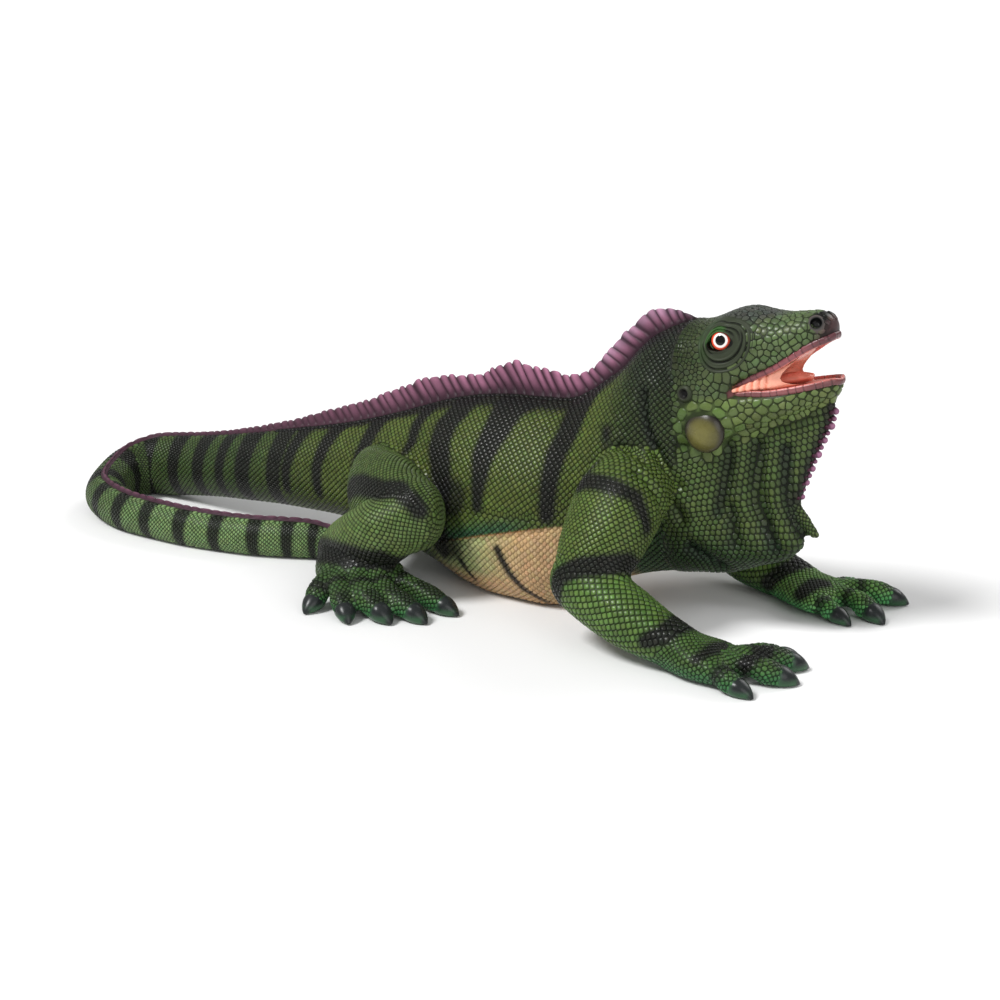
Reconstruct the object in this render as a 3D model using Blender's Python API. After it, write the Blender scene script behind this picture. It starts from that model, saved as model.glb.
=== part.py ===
"""Painted cast figure of a green iguana, life size, resting on its belly.

+X runs to the snout, +Y to the animal's left and +Z up.  The floor is z = 0,
and the origin lies on the flat of the belly.  Lengths are in metres.
"""

import math

import bmesh
import bpy
import numpy as np

GAP = 0.0004            # cut between neighbouring pieces
AROUND = 16             # points round a slice of the body or head
LIMB_AROUND = 10        # points round a limb
DIGIT_AROUND = 6        # points round a finger or toe
CAP = ((0.55, 0.83), (0.95, 0.35))      # rings of a rounded end: lift in half depths, scale
SIDES = (("R", -1), ("L", 1))

# Body slices from the back of the head to the tail's tip, each across the line of the back:
# x, y, underside, back, half width, width factors above and below, squareness below and above
BODY = (
    (0.1240, 0.0, 0.0460, 0.2655, 0.0450, 0.86, 0.80, 2.6, 2.60),
    (0.1080, 0.0, 0.0430, 0.2620, 0.0480, 0.80, 0.84, 2.6, 2.50),
    (0.0920, 0.0, 0.0395, 0.2545, 0.0520, 0.74, 0.88, 2.7, 2.40),
    (0.0760, 0.0, 0.0345, 0.2440, 0.0560, 0.68, 0.90, 2.8, 2.30),
    (0.0540, 0.0, 0.0250, 0.2200, 0.0610, 0.63, 0.92, 3.0, 2.20),
    (0.0290, 0.0, 0.0040, 0.1985, 0.0660, 0.60, 0.94, 3.3, 2.15),
    (0.0050, 0.0, -0.0058, 0.1835, 0.0700, 0.58, 0.94, 3.5, 2.15),
    (-0.0300, 0.0, -0.0062, 0.1780, 0.0730, 0.56, 0.94, 3.6, 2.15),
    (-0.0650, 0.0, -0.0058, 0.1755, 0.0720, 0.56, 0.93, 3.6, 2.15),
    (-0.0900, 0.0, -0.0010, 0.1720, 0.0700, 0.56, 0.92, 3.5, 2.15),
    (-0.1200, 0.0, 0.0070, 0.1655, 0.0650, 0.57, 0.90, 3.2, 2.15),
    (-0.1500, 0.0, 0.0135, 0.1560, 0.0590, 0.58, 0.88, 2.9, 2.15),
    (-0.1800, 0.0, 0.0200, 0.1450, 0.0520, 0.60, 0.88, 2.6, 2.15),
    (-0.2120, 0.0, 0.0240, 0.1340, 0.0450, 0.62, 0.90, 2.4, 2.15),
    (-0.2620, 0.0, 0.0262, 0.1190, 0.0385, 0.66, 0.92, 2.2, 2.15),
    (-0.3030, 0.0, 0.0252, 0.1093, 0.0350, 0.70, 0.94, 2.2, 2.15),
    (-0.3450, 0.001, 0.0226, 0.0995, 0.0320, 0.74, 0.95, 2.1, 2.10),
    (-0.3860, 0.003, 0.0184, 0.0900, 0.0295, 0.78, 0.96, 2.1, 2.10),
    (-0.4250, 0.007, 0.0136, 0.0810, 0.0275, 0.82, 0.97, 2.1, 2.10),
    (-0.4600, 0.011, 0.0080, 0.0738, 0.0262, 0.86, 0.97, 2.1, 2.10),
    (-0.4970, 0.012, 0.0020, 0.0678, 0.0248, 0.90, 0.98, 2.1, 2.05),
    (-0.5280, 0.006, -0.0018, 0.0620, 0.0234, 0.94, 0.98, 2.0, 2.00),
    (-0.5425, -0.0165, -0.0022, 0.0545, 0.0222, 0.96, 1.0, 2.0, 2.0),
    (-0.5365, -0.0455, -0.0022, 0.0470, 0.0212, 0.96, 1.0, 2.0, 2.0),
    (-0.5220, -0.071, -0.0022, 0.0418, 0.0204, 0.96, 1.0, 2.0, 2.0),
    (-0.4930, -0.089, -0.0022, 0.0400, 0.0198, 0.96, 1.0, 2.0, 2.0),
    (-0.4580, -0.099, -0.0022, 0.0388, 0.0192, 0.96, 1.0, 2.0, 2.0),
    (-0.4200, -0.101, -0.0012, 0.0378, 0.0187, 0.96, 1.0, 2.0, 2.0),
    (-0.3800, -0.099, -0.0022, 0.0368, 0.0182, 0.96, 1.0, 2.0, 2.0),
    (-0.3420, -0.0925, -0.0022, 0.0362, 0.0180, 0.96, 1.0, 2.0, 2.0),
    (-0.3080, -0.0840, -0.0022, 0.0365, 0.0178, 0.96, 1.0, 2.0, 2.0),
    (-0.2790, -0.0715, -0.0022, 0.0366, 0.0174, 0.96, 1.0, 2.0, 2.0),
    (-0.2520, -0.0590, -0.0022, 0.0350, 0.0160, 0.96, 1.0, 2.0, 2.0),
    (-0.2220, -0.052, -0.0016, 0.0270, 0.0135, 0.96, 1.0, 2.0, 2.0),
    (-0.1900, -0.048, -0.0012, 0.0185, 0.0092, 0.96, 1.0, 2.0, 2.0),
    (-0.1580, -0.048, -0.0006, 0.0090, 0.0045, 0.96, 1.0, 2.0, 2.0),
)
# Cuts, as distances along the back from the first slice
CUTS = (0.052, 0.360, 0.500, 0.640, 0.800)
SLICE_STEP = 0.024

# Head slices: x, lip or palate line, crown, half width, factor above, factor below
HEAD = (
    (0.1244, 0.2130, 0.2655, 0.0400, 0.76, 1.06),
    (0.1360, 0.2140, 0.2690, 0.0410, 0.78, 1.05),
    (0.1480, 0.2150, 0.2745, 0.0400, 0.86, 1.04),
    (0.1600, 0.2155, 0.2802, 0.0375, 0.96, 1.04),
    (0.1700, 0.2175, 0.2825, 0.0345, 0.94, 1.03),
    (0.1860, 0.2265, 0.2815, 0.0310, 0.78, 1.04),
    (0.2030, 0.2360, 0.2815, 0.0280, 0.70, 1.06),
    (0.2190, 0.2475, 0.2840, 0.0238, 0.74, 1.05),
    (0.2300, 0.2555, 0.2855, 0.0198, 0.84, 1.02),
    (0.2380, 0.2602, 0.2845, 0.0156, 0.88, 1.00),
    (0.2435, 0.2630, 0.2800, 0.0105, 0.90, 1.00),
    (0.2460, 0.2660, 0.2735, 0.0045, 0.90, 1.00),
)
# Lower jaw slices: x, underside, lip line, half width, factor above, factor below
JAW = (
    (0.1244, 0.1520, 0.2126, 0.0430, 1.00, 0.86),
    (0.1400, 0.1565, 0.2136, 0.0440, 1.00, 0.86),
    (0.1520, 0.1610, 0.2142, 0.0435, 0.98, 0.84),
    (0.1660, 0.1680, 0.2155, 0.0400, 0.94, 0.80),
    (0.1820, 0.1770, 0.2175, 0.0355, 0.92, 0.72),
    (0.2000, 0.1870, 0.2200, 0.0310, 0.95, 0.66),
    (0.2180, 0.1975, 0.2245, 0.0255, 0.98, 0.64),
    (0.2340, 0.2070, 0.2290, 0.0190, 1.00, 0.66),
    (0.2450, 0.2140, 0.2320, 0.0125, 1.00, 0.70),
    (0.2505, 0.2190, 0.2325, 0.0070, 1.00, 0.80),
    (0.2522, 0.2240, 0.2310, 0.0030, 1.00, 0.90),
)
HEAD_STEPS = 13
LIP_SQUARE, CROWN_SQUARE = 5.0, 2.5

# Dewlap slices from below: height at its back, height at its front edge, front edge x,
# half width at the back, half width near the front
DEWLAP = (
    (0.0465, 0.0500, 0.150, 0.0180, 0.0100),
    (0.0530, 0.0570, 0.176, 0.0290, 0.0150),
    (0.0600, 0.0670, 0.198, 0.0345, 0.0170),
    (0.0690, 0.0760, 0.216, 0.0375, 0.0170),
    (0.0800, 0.0920, 0.2265, 0.0395, 0.0160),
    (0.0920, 0.1110, 0.2215, 0.0410, 0.0150),
    (0.1040, 0.1280, 0.2220, 0.0420, 0.0145),
    (0.1180, 0.1540, 0.2300, 0.0425, 0.0140),
    (0.1320, 0.1780, 0.2390, 0.0425, 0.0130),
    (0.1450, 0.1980, 0.2470, 0.0410, 0.0120),
    (0.1580, 0.2190, 0.2490, 0.0380, 0.0095),
)
DEWLAP_BACK = 0.1244
DEWLAP_REACH = (0.0, 0.21, 0.44, 0.67, 0.87, 1.0)    # shares of the way from back to front edge
# The rolled lobe, its inner end a hair off the middle so that its edges cross the fan's
DEWLAP_LOBE = ((0.212, 0.0006, 0.117, 0.006, 0.009), (0.2330, 0.0, 0.0985, 0.004, 0.006))

EYE_AT, EYE_RADIUS = (0.1595, 0.0285, 0.2573), 0.0085
NOSTRIL_AT, NOSTRIL_RADIUS = (0.2360, 0.0165, 0.2790), 0.0026
EAR_AT, EAR_RADII = (0.1330, 0.0405, 0.2220), (0.0042, 0.0035, 0.0050)
SHIELD_AT, SHIELD_RADIUS, SHIELD_BULGE = (0.1535, 0.0400, 0.1815), 0.0175, 0.0080
# Mouth lining: from this x to that, this far inside the lips, and hollowed from the front
MOUTH_FROM, MOUTH_TO, MOUTH_INSET = 0.160, 0.205, 0.0035
MOUTH_HOLLOW, MOUTH_HOLLOW_RADII = (0.215, 0.0, 0.234), (0.034, 0.0235, 0.030)
TONGUE = (
    (0.191, 0.0, 0.2215, 0.0125, 0.0035),
    (0.203, 0.0, 0.2255, 0.0125, 0.0045),
    (0.215, 0.0, 0.2285, 0.0095, 0.0040),
    (0.224, 0.0, 0.2305, 0.0060, 0.0025),
)

# Limb slices: x, distance from the middle plane, z, half width, half depth
UPPER_ARM = (
    (0.086, 0.040, 0.132, 0.036, 0.030),
    (0.089, 0.066, 0.122, 0.040, 0.032),
    (0.089, 0.086, 0.102, 0.040, 0.030),
    (0.086, 0.101, 0.080, 0.036, 0.027),
    (0.084, 0.110, 0.062, 0.031, 0.024),
)
FOREARMS = {
    "R": ((0.078, 0.110, 0.057, 0.026, 0.028), (0.098, 0.113, 0.048, 0.027, 0.027),
          (0.124, 0.114, 0.037, 0.027, 0.026), (0.152, 0.114, 0.027, 0.024, 0.022),
          (0.178, 0.113, 0.020, 0.021, 0.018)),
    "L": ((0.080, 0.111, 0.055, 0.025, 0.027), (0.098, 0.108, 0.043, 0.027, 0.028),
          (0.124, 0.103, 0.031, 0.027, 0.028), (0.152, 0.099, 0.021, 0.025, 0.022),
          (0.178, 0.096, 0.016, 0.022, 0.018)),
}
PALMS = {
    "R": ((0.170, 0.113, 0.0180, 0.020, 0.0185), (0.190, 0.113, 0.0160, 0.027, 0.0175),
          (0.208, 0.108, 0.0130, 0.031, 0.0150)),
    "L": ((0.170, 0.093, 0.0150, 0.022, 0.0165), (0.190, 0.090, 0.0135, 0.031, 0.0150),
          (0.208, 0.088, 0.0115, 0.036, 0.0125)),
}
THIGH = (
    (-0.190, 0.045, 0.082, 0.036, 0.026),
    (-0.172, 0.064, 0.080, 0.043, 0.030),
    (-0.145, 0.082, 0.079, 0.046, 0.032),
    (-0.118, 0.096, 0.080, 0.041, 0.030),
    (-0.100, 0.103, 0.082, 0.034, 0.026),
)
SHANK = (
    (-0.102, 0.112, 0.080, 0.025, 0.021),
    (-0.122, 0.119, 0.066, 0.030, 0.026),
    (-0.148, 0.118, 0.053, 0.029, 0.025),
    (-0.172, 0.111, 0.042, 0.025, 0.022),
    (-0.187, 0.107, 0.034, 0.020, 0.019),
)
SOLE = (
    (-0.184, 0.112, 0.0200, 0.020, 0.0215),
    (-0.169, 0.121, 0.0225, 0.027, 0.0250),
    (-0.148, 0.127, 0.0230, 0.029, 0.0250),
    (-0.132, 0.122, 0.0225, 0.023, 0.0230),
)
# Digits: the knuckle, the middle joint and the claw's root, each x, out, z; then the radius.
# The right hand turns in a little and the left one out.
FINGERS_R = (
    ((0.192, 0.088, 0.010), (0.202, 0.067, 0.010), (0.209, 0.053, 0.0052), 0.0064),
    ((0.203, 0.086, 0.012), (0.220, 0.061, 0.013), (0.232, 0.045, 0.0062), 0.0072),
    ((0.210, 0.097, 0.014), (0.232, 0.077, 0.015), (0.2475, 0.0615, 0.0077), 0.0108),
    ((0.212, 0.110, 0.014), (0.237, 0.104, 0.015), (0.2545, 0.0935, 0.0077), 0.0114),
    ((0.203, 0.124, 0.012), (0.220, 0.131, 0.014), (0.2365, 0.1325, 0.0072), 0.0100),
)
FINGERS_L = (
    ((0.198, 0.078, 0.011), (0.214, 0.066, 0.012), (0.2290, 0.0620, 0.0072), 0.0094),
    ((0.207, 0.094, 0.012), (0.233, 0.091, 0.014), (0.2515, 0.0840, 0.0077), 0.0108),
    ((0.207, 0.108, 0.013), (0.231, 0.120, 0.015), (0.2485, 0.1300, 0.0077), 0.0108),
    ((0.199, 0.116, 0.012), (0.219, 0.134, 0.012), (0.2320, 0.1460, 0.0062), 0.0076),
    ((0.190, 0.116, 0.010), (0.200, 0.138, 0.010), (0.2070, 0.1500, 0.0052), 0.0066),
)
TOES = (
    ((-0.163, 0.145, 0.024), (-0.162, 0.162, 0.020), (-0.1610, 0.1720, 0.0082), 0.0108),
    ((-0.155, 0.142, 0.026), (-0.141, 0.162, 0.022), (-0.1235, 0.1760, 0.0087), 0.0108),
    ((-0.141, 0.139, 0.027), (-0.119, 0.157, 0.021), (-0.0965, 0.1620, 0.0092), 0.0116),
    ((-0.132, 0.130, 0.027), (-0.101, 0.143, 0.020), (-0.0725, 0.1455, 0.0087), 0.0112),
    ((-0.125, 0.116, 0.026), (-0.093, 0.118, 0.020), (-0.0620, 0.1160, 0.0082), 0.0108),
)
FINGERS = {"R": FINGERS_R, "L": FINGERS_L}
DIGIT_SCALES, DIGIT_FLAT = (1.0, 1.06, 0.86), 0.94
CLAW_LENGTH = 0.0165
# Claw slices: share of its length, scale of the digit's end, share of that end's height
CLAW_SLICES = ((0.0, 0.94, 1.0), (0.45, 0.74, 0.86), (0.8, 0.42, 0.55), (1.0, 0.12, 0.22))

# Crest: distance along the back, height of the spines' tips above it
CREST = (
    (0.004, 0.001), (0.016, 0.008), (0.030, 0.018), (0.046, 0.027), (0.070, 0.031),
    (0.095, 0.022), (0.124, 0.020), (0.154, 0.026), (0.200, 0.027), (0.212, 0.020),
    (0.244, 0.021), (0.276, 0.026), (0.319, 0.023), (0.359, 0.018), (0.399, 0.015),
    (0.429, 0.011), (0.510, 0.005), (0.579, 0.003), (0.700, 0.003), (1.200, 0.003),
)
CREST_ENDS = (0.006, CUTS[0], 0.250, 0.420, 1.040)     # distances along the back
CREST_PITCHES = (0.009, 0.012, 0.014, 0.024)            # from one spine to the next
CREST_LEAN = 0.30                           # how far a tip leans back for its height
CREST_HALF, CREST_TIP_HALF = 0.0024, 0.0010
CREST_DEPTH = 0.006                         # reach into the back, before it is cut away
# Spines down the dewlap's front edge: how many, the heights they lie between, how far they
# stand out and reach in, and their half widths at root and tip
DEWLAP_SPINES, DEWLAP_SPINES_FROM, DEWLAP_SPINES_TO = 8, 0.128, 0.204
DEWLAP_SPINE, DEWLAP_SPINE_ROOT = 0.0035, 0.004
DEWLAP_SPINE_HALF, DEWLAP_SPINE_TIP_HALF = 0.0018, 0.0008

COLOURS = {
    "green": ((0.085, 0.135, 0.030), 0.45),
    "dark_green": ((0.045, 0.075, 0.035), 0.45),
    "crest": ((0.150, 0.060, 0.085), 0.55),
    "claw": ((0.020, 0.021, 0.023), 0.30),
    "eye": ((0.75, 0.72, 0.65), 0.12),
    "shield": ((0.150, 0.170, 0.050), 0.40),
    "mouth": ((0.60, 0.22, 0.14), 0.40),
}


def start_scene():
    """Empty the scene and return the collections for the parts and for the cutters."""
    for obj in list(bpy.data.objects):
        bpy.data.objects.remove(obj)
    made = []
    for name in ("iguana", "cutters"):
        collection = bpy.data.collections.new(name)
        bpy.context.scene.collection.children.link(collection)
        made.append(collection)
    return made


PARTS, CUTTERS = start_scene()


def finish(name, colour):
    """A Principled material for one part."""
    rgb, roughness = COLOURS[colour]
    material = bpy.data.materials.new(name + "_finish")
    material.use_nodes = True
    shader = material.node_tree.nodes["Principled BSDF"]
    shader.inputs["Base Color"].default_value = (*rgb, 1.0)
    shader.inputs["Roughness"].default_value = roughness
    material.diffuse_color = (*rgb, 1.0)
    return material


def new_object(name, mesh, colour=None):
    """An object for a mesh: a part if it has a colour, or else a hidden cutter."""
    obj = bpy.data.objects.new(name, mesh)
    if colour:
        mesh.materials.append(finish(name, colour))
        PARTS.objects.link(obj)
    else:
        CUTTERS.objects.link(obj)
        obj.hide_render = True
        obj.display_type = "WIRE"
    return obj


def loft(name, rings, colour=None):
    """Close a list of rings of points into one solid, with a fan of faces at each end.

    Each four-sided gap between two rings is split along the same diagonal, so that a piece
    and its slightly larger cutter keep an even distance apart.
    """
    work = bmesh.new()
    grid = [[work.verts.new(point) for point in ring] for ring in rings]
    around = range(-1, len(grid[0]) - 1)
    for one, two in zip(grid, grid[1:]):
        for k in around:
            work.faces.new((one[k], one[k + 1], two[k + 1]))
            work.faces.new((one[k], two[k + 1], two[k]))
    for end, points in ((grid[0], rings[0]), (grid[-1], rings[-1])):
        middle = work.verts.new(np.mean(points, axis=0))
        for k in around:
            work.faces.new((middle, end[k], end[k + 1]))
    bmesh.ops.recalc_face_normals(work, faces=work.faces)
    mesh = bpy.data.meshes.new(name)
    work.to_mesh(mesh)
    work.free()
    return new_object(name, mesh, colour)


def ball(name, centre, radii, colour=None, segments=10, rows=7):
    """An ellipsoid from a UV sphere."""
    work = bmesh.new()
    bmesh.ops.create_uvsphere(work, u_segments=segments, v_segments=rows, radius=1.0)
    for vert in work.verts:
        vert.co = [c + r * v for c, r, v in zip(centre, radii, vert.co)]
    mesh = bpy.data.meshes.new(name)
    work.to_mesh(mesh)
    work.free()
    return new_object(name, mesh, colour)


def boolean(obj, operation, *others):
    """Apply exact Booleans with the other objects to an object's mesh."""
    for other in others:
        modifier = obj.modifiers.new(operation.lower(), "BOOLEAN")
        modifier.operation = operation
        modifier.solver = "EXACT"
        modifier.object = other
    bpy.context.view_layer.update()
    graph = bpy.context.evaluated_depsgraph_get()
    mesh = bpy.data.meshes.new_from_object(obj.evaluated_get(graph))
    obj.modifiers.clear()
    obj.data = mesh


def smooth(places, values, at):
    """A cubic through the values at rising places, its slope at each that of its neighbours."""
    places, values = np.asarray(places, float), np.asarray(values, float)
    slopes = np.gradient(values, places, axis=0)
    at = np.clip(at, places[0], places[-1])
    k = np.clip(np.searchsorted(places, at) - 1, 0, len(places) - 2)
    step = (places[k + 1] - places[k])[:, None]
    t = (at - places[k])[:, None] / step
    return (
        values[k] * (1 + 2 * t) * (1 - t) ** 2
        + slopes[k] * step * t * (1 - t) ** 2
        + values[k + 1] * t * t * (3 - 2 * t)
        + slopes[k + 1] * step * t * t * (t - 1)
    )


def section(row, square_below, square_above, grow=0.0):
    """Across and up distances round a slice: a superellipse whose width changes with height."""
    low, high, half, above, below = row[:5]
    angle = 2 * math.pi * np.arange(AROUND) / AROUND
    exponent = 2 / np.where(np.sin(angle) < 0, square_below, square_above)
    up = np.sign(np.sin(angle)) * np.abs(np.sin(angle)) ** exponent
    across = np.sign(np.cos(angle)) * np.abs(np.cos(angle)) ** exponent
    width = 1 + (above - below) / 2 * up + ((above + below) / 2 - 1) * up**2
    return (
        (half + grow) * width * across,
        (low + high) / 2 + ((high - low) / 2 + grow) * up,
    )


BODY_TABLE = np.array(BODY)
ALONG = np.concatenate([[0], np.cumsum(np.hypot(*np.diff(BODY_TABLE[:, :2], axis=0).T))])


def body_places(at):
    """Path points, forward directions and slice sizes at distances along the back."""
    rows = smooth(ALONG, BODY_TABLE, at)
    ahead = smooth(ALONG, BODY_TABLE[:, :2], at - 0.001)
    ahead -= smooth(ALONG, BODY_TABLE[:, :2], at + 0.001)
    ahead /= np.linalg.norm(ahead, axis=1)[:, None]
    return rows[:, :2], ahead, rows[:, 2:]


def body_stations(start, end):
    """Distances of the slices: even steps, and the two faces of each cut between them."""
    even = np.arange(0, ALONG[-1], SLICE_STEP)
    even = even[np.abs(np.subtract.outer(even, CUTS)).min(axis=1) > SLICE_STEP / 3]
    faces = np.add.outer(CUTS, (-GAP / 2, GAP / 2)).ravel()
    at = np.sort(np.concatenate([even, faces, ALONG[-1:]]))
    return at[(at >= start) & (at <= end)]


def body_rings(start, end, grow=0.0):
    """Slices of the body between two distances along the back, cut flat at the floor."""
    at = body_stations(start, end)
    rings = []
    for (x, y), (ahead_x, ahead_y), row in zip(*body_places(at)):
        across, up = section(row, row[5], row[6], grow)
        points = (x - ahead_y * across, y + ahead_x * across, np.maximum(up, -grow))
        rings.append(np.stack(points, axis=1))
    return rings


def level_rings(table, square_below, square_above, grow=0.0):
    """Upright slices of the head or the lower jaw, closer together towards the snout."""
    table = np.array(table)
    at = table[0, 0] + np.linspace(0, 1, HEAD_STEPS) ** 0.8 * (table[-1, 0] - table[0, 0])
    rings = []
    for x, row in zip(at, smooth(table[:, 0], table[:, 1:], at)):
        across, up = section(row, square_below, square_above, grow)
        rings.append(np.stack([np.full(AROUND, x), across, up], axis=1))
    return rings


def tube_rings(table, wide, side=1, grow=0.0, around=LIMB_AROUND, steps=4, caps=(2, 2)):
    """Elliptic rings with rounded ends along a path, from x, out, z, half width, half depth.

    wide is the direction of the half width, before it is squared to the path.
    side is 1 for the animal's left and -1 for its right.
    """
    table = np.array(table, float) * (1, side, 1, 1, 1)
    place = np.arange(len(table))
    at = np.linspace(0, len(table) - 1, steps)
    rows = smooth(place, table, at)
    rows[:, 3:] += grow
    ahead = smooth(place, table[:, :3], at + 0.05) - smooth(place, table[:, :3], at - 0.05)
    ahead /= np.linalg.norm(ahead, axis=1)[:, None]
    slices = [(rows[0], ahead[0], -lift, scale) for lift, scale in reversed(CAP[:caps[0]])]
    slices += [(row, forward, 0.0, 1.0) for row, forward in zip(rows, ahead)]
    slices += [(rows[-1], ahead[-1], lift, scale) for lift, scale in CAP[:caps[1]]]
    angle = 2 * math.pi * np.arange(around) / around
    wide = np.array(wide) * (1, side, 1)
    rings = []
    for row, forward, lift, scale in slices:
        width = wide - forward * forward.dot(wide)
        width /= np.linalg.norm(width)
        depth = np.cross(forward, width)
        points = row[:3] + forward * lift * row[4]
        points = points + scale * row[3] * np.cos(angle)[:, None] * width
        points = points + scale * row[4] * np.sin(angle)[:, None] * depth
        points[:, 2] = np.maximum(points[:, 2], -grow)
        rings.append(points)
    return rings


def dewlap_rings(grow=0.0):
    """Slices of the dewlap from below, each tilted up from its cut back to its front edge."""
    reach = np.array(DEWLAP_REACH)
    rings = []
    for back_z, front_z, front_x, half_back, half_front in DEWLAP:
        half = half_back + (half_front - half_back) * np.sin(reach * math.pi / 2) ** 1.5
        half = (half + grow) * np.sqrt(1 - reach**5)
        across = np.concatenate([half, -half[-2::-1]])
        there = np.concatenate([reach, reach[-2::-1]])
        x = DEWLAP_BACK + there * (front_x + grow - DEWLAP_BACK)
        z = back_z + there * (front_z - back_z)
        rings.append(np.stack([x, across, z], axis=1))
    return rings


def mouth_rings():
    """A box-like wedge between the jaws, a little narrower than the lips."""
    at = np.linspace(MOUTH_FROM, MOUTH_TO, 4)
    upper, lower = np.array(HEAD), np.array(JAW)
    rings = []
    for x, top, bottom in zip(
        at, smooth(upper[:, 0], upper[:, 1:], at), smooth(lower[:, 0], lower[:, 1:], at)
    ):
        half = min(top[2] * top[4], bottom[2] * bottom[3]) - MOUTH_INSET
        low, high = bottom[1] - 0.001, top[0] + 0.001
        rings.append([(x, half, low), (x, -half, low), (x, -half, high), (x, half, high)])
    return rings


def mirrored(point, side):
    return point[0], side * point[1], point[2]


def make_body():
    """Neck, trunk and four lengths of tail, parted by thin cuts across the back."""
    ends = (0.0, *CUTS, ALONG[-1])
    names = ("neck", "trunk", "tail_1", "tail_2", "tail_3", "tail_4")
    for name, start, end in zip(names, ends, ends[1:]):
        loft(name, body_rings(start, end), "green")


def make_head():
    """Cranium and upper jaw, lower jaw, tongue, and the pockets of eyes, ears and nostrils."""
    head = loft("head", level_rings(HEAD, LIP_SQUARE, CROWN_SQUARE), "green")
    jaw = loft("lower_jaw", level_rings(JAW, 2.4, LIP_SQUARE), "green")
    tongue_shape = {"wide": (0, 1, 0), "around": 8}
    tongue = loft("tongue", tube_rings(TONGUE, **tongue_shape), "mouth")
    jaw_room = loft("jaw_room", level_rings(JAW, 2.4, LIP_SQUARE, GAP))
    head_room = loft("head_room", level_rings(HEAD, LIP_SQUARE, CROWN_SQUARE, GAP))
    lining = loft("mouth_lining", mouth_rings(), "mouth")
    hollow = ball("mouth_hollow", MOUTH_HOLLOW, MOUTH_HOLLOW_RADII, None, 8, 6)
    tongue_room = loft("tongue_room", tube_rings(TONGUE, grow=GAP, **tongue_shape))
    boolean(lining, "DIFFERENCE", jaw_room, head_room, hollow, tongue_room)
    boolean(tongue, "DIFFERENCE", jaw_room)
    pockets = []
    for letter, side in SIDES:
        eye, ear = mirrored(EYE_AT, side), mirrored(EAR_AT, side)
        ball("eye_" + letter, eye, [EYE_RADIUS] * 3, "eye")
        ball("eardrum_" + letter, ear, [r - GAP for r in EAR_RADII], "dark_green", 8, 5)
        pockets.append(ball("eye_pocket_" + letter, eye, [EYE_RADIUS + GAP] * 3))
        pockets.append(ball("ear_pocket_" + letter, ear, EAR_RADII, None, 8, 5))
        nostril = mirrored(NOSTRIL_AT, side)
        pockets.append(ball("nostril_" + letter, nostril, [NOSTRIL_RADIUS] * 3, None, 6, 4))
    boolean(head, "DIFFERENCE", *pockets)
    return jaw


def make_shields(jaw):
    """The big round scale on each cheek, a shallow dome let into the jaw."""
    for letter, side in SIDES:
        at = mirrored(SHIELD_AT, side)
        radii = (SHIELD_RADIUS, SHIELD_BULGE, SHIELD_RADIUS)
        ball("cheek_shield_" + letter, at, radii, "shield", 12, 6)
        pocket = [r + GAP for r in radii]
        boolean(jaw, "DIFFERENCE", ball("shield_pocket_" + letter, at, pocket, None, 12, 6))


def make_dewlap():
    """The hanging throat fan, with its small rolled lobe and the spines on its front edge."""
    dewlap = loft("dewlap", dewlap_rings(), "green")
    lobe = loft("lobe", tube_rings(DEWLAP_LOBE, (0, 1, 0), around=8, steps=3))
    boolean(dewlap, "UNION", lobe)
    boolean(dewlap, "DIFFERENCE", loft("jaw_space", level_rings(JAW, 2.4, LIP_SQUARE, GAP)))
    table = np.array(DEWLAP)
    at = np.linspace(DEWLAP_SPINES_FROM, DEWLAP_SPINES_TO, 2 * DEWLAP_SPINES + 1)
    edge = smooth(table[:, 1], table[:, 2:3], at)[:, 0]
    saw = np.resize((0.3, 1.0), len(at))
    rings = []
    for z, x, tooth in zip(at, edge, saw):
        root, front = x - DEWLAP_SPINE_ROOT, x + DEWLAP_SPINE * tooth
        rings.append([(root, DEWLAP_SPINE_HALF, z), (root, -DEWLAP_SPINE_HALF, z),
                      (front, -DEWLAP_SPINE_TIP_HALF, z), (front, DEWLAP_SPINE_TIP_HALF, z)])
    spines = loft("dewlap_spines", rings, "crest")
    boolean(spines, "DIFFERENCE", loft("dewlap_room", dewlap_rings(GAP)))


def make_crest():
    """The row of fused spines along the back, in four lengths that follow the slices."""
    body = loft("body_room", body_rings(0.0, ALONG[-1], GAP))
    table = np.array(CREST)
    names = ("crest_neck", "crest_back", "crest_rump", "crest_tail")
    for name, start, end, pitch in zip(names, CREST_ENDS, CREST_ENDS[1:], CREST_PITCHES):
        teeth = round((end - start) / pitch)
        at = np.linspace(start + GAP / 2, end - GAP / 2, 2 * teeth + 1)
        height = smooth(table[:, 0], table[:, 1:], at)[:, 0] * np.resize((0.8, 1.0), len(at))
        path, ahead, rows = body_places(at)
        lean = np.minimum(CREST_LEAN * height, end - GAP / 2 - at)
        across = np.stack([-ahead[:, 1], ahead[:, 0]], axis=1)
        rings = []
        for at_foot, side_way, forward, back, spine, tilt in zip(
            path, across, ahead, rows[:, 1], height, lean
        ):
            foot, tip = back - CREST_DEPTH, back + spine
            at_tip = at_foot - forward * tilt
            rings.append([
                (*(at_foot + side_way * CREST_HALF), foot),
                (*(at_foot - side_way * CREST_HALF), foot),
                (*(at_tip - side_way * CREST_TIP_HALF), tip),
                (*(at_tip + side_way * CREST_TIP_HALF), tip),
            ])
        boolean(loft(name, rings, "crest"), "DIFFERENCE", body)
    return body


def limb_piece(name, table, wide, side):
    """One length of a limb."""
    return loft(name, tube_rings(table, wide, side), "green")


def limb_room(name, table, wide, side):
    """A slightly larger copy of a length of limb, that cuts its neighbours back from it."""
    return loft(name + "_room", tube_rings(table, wide, side, GAP))


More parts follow.
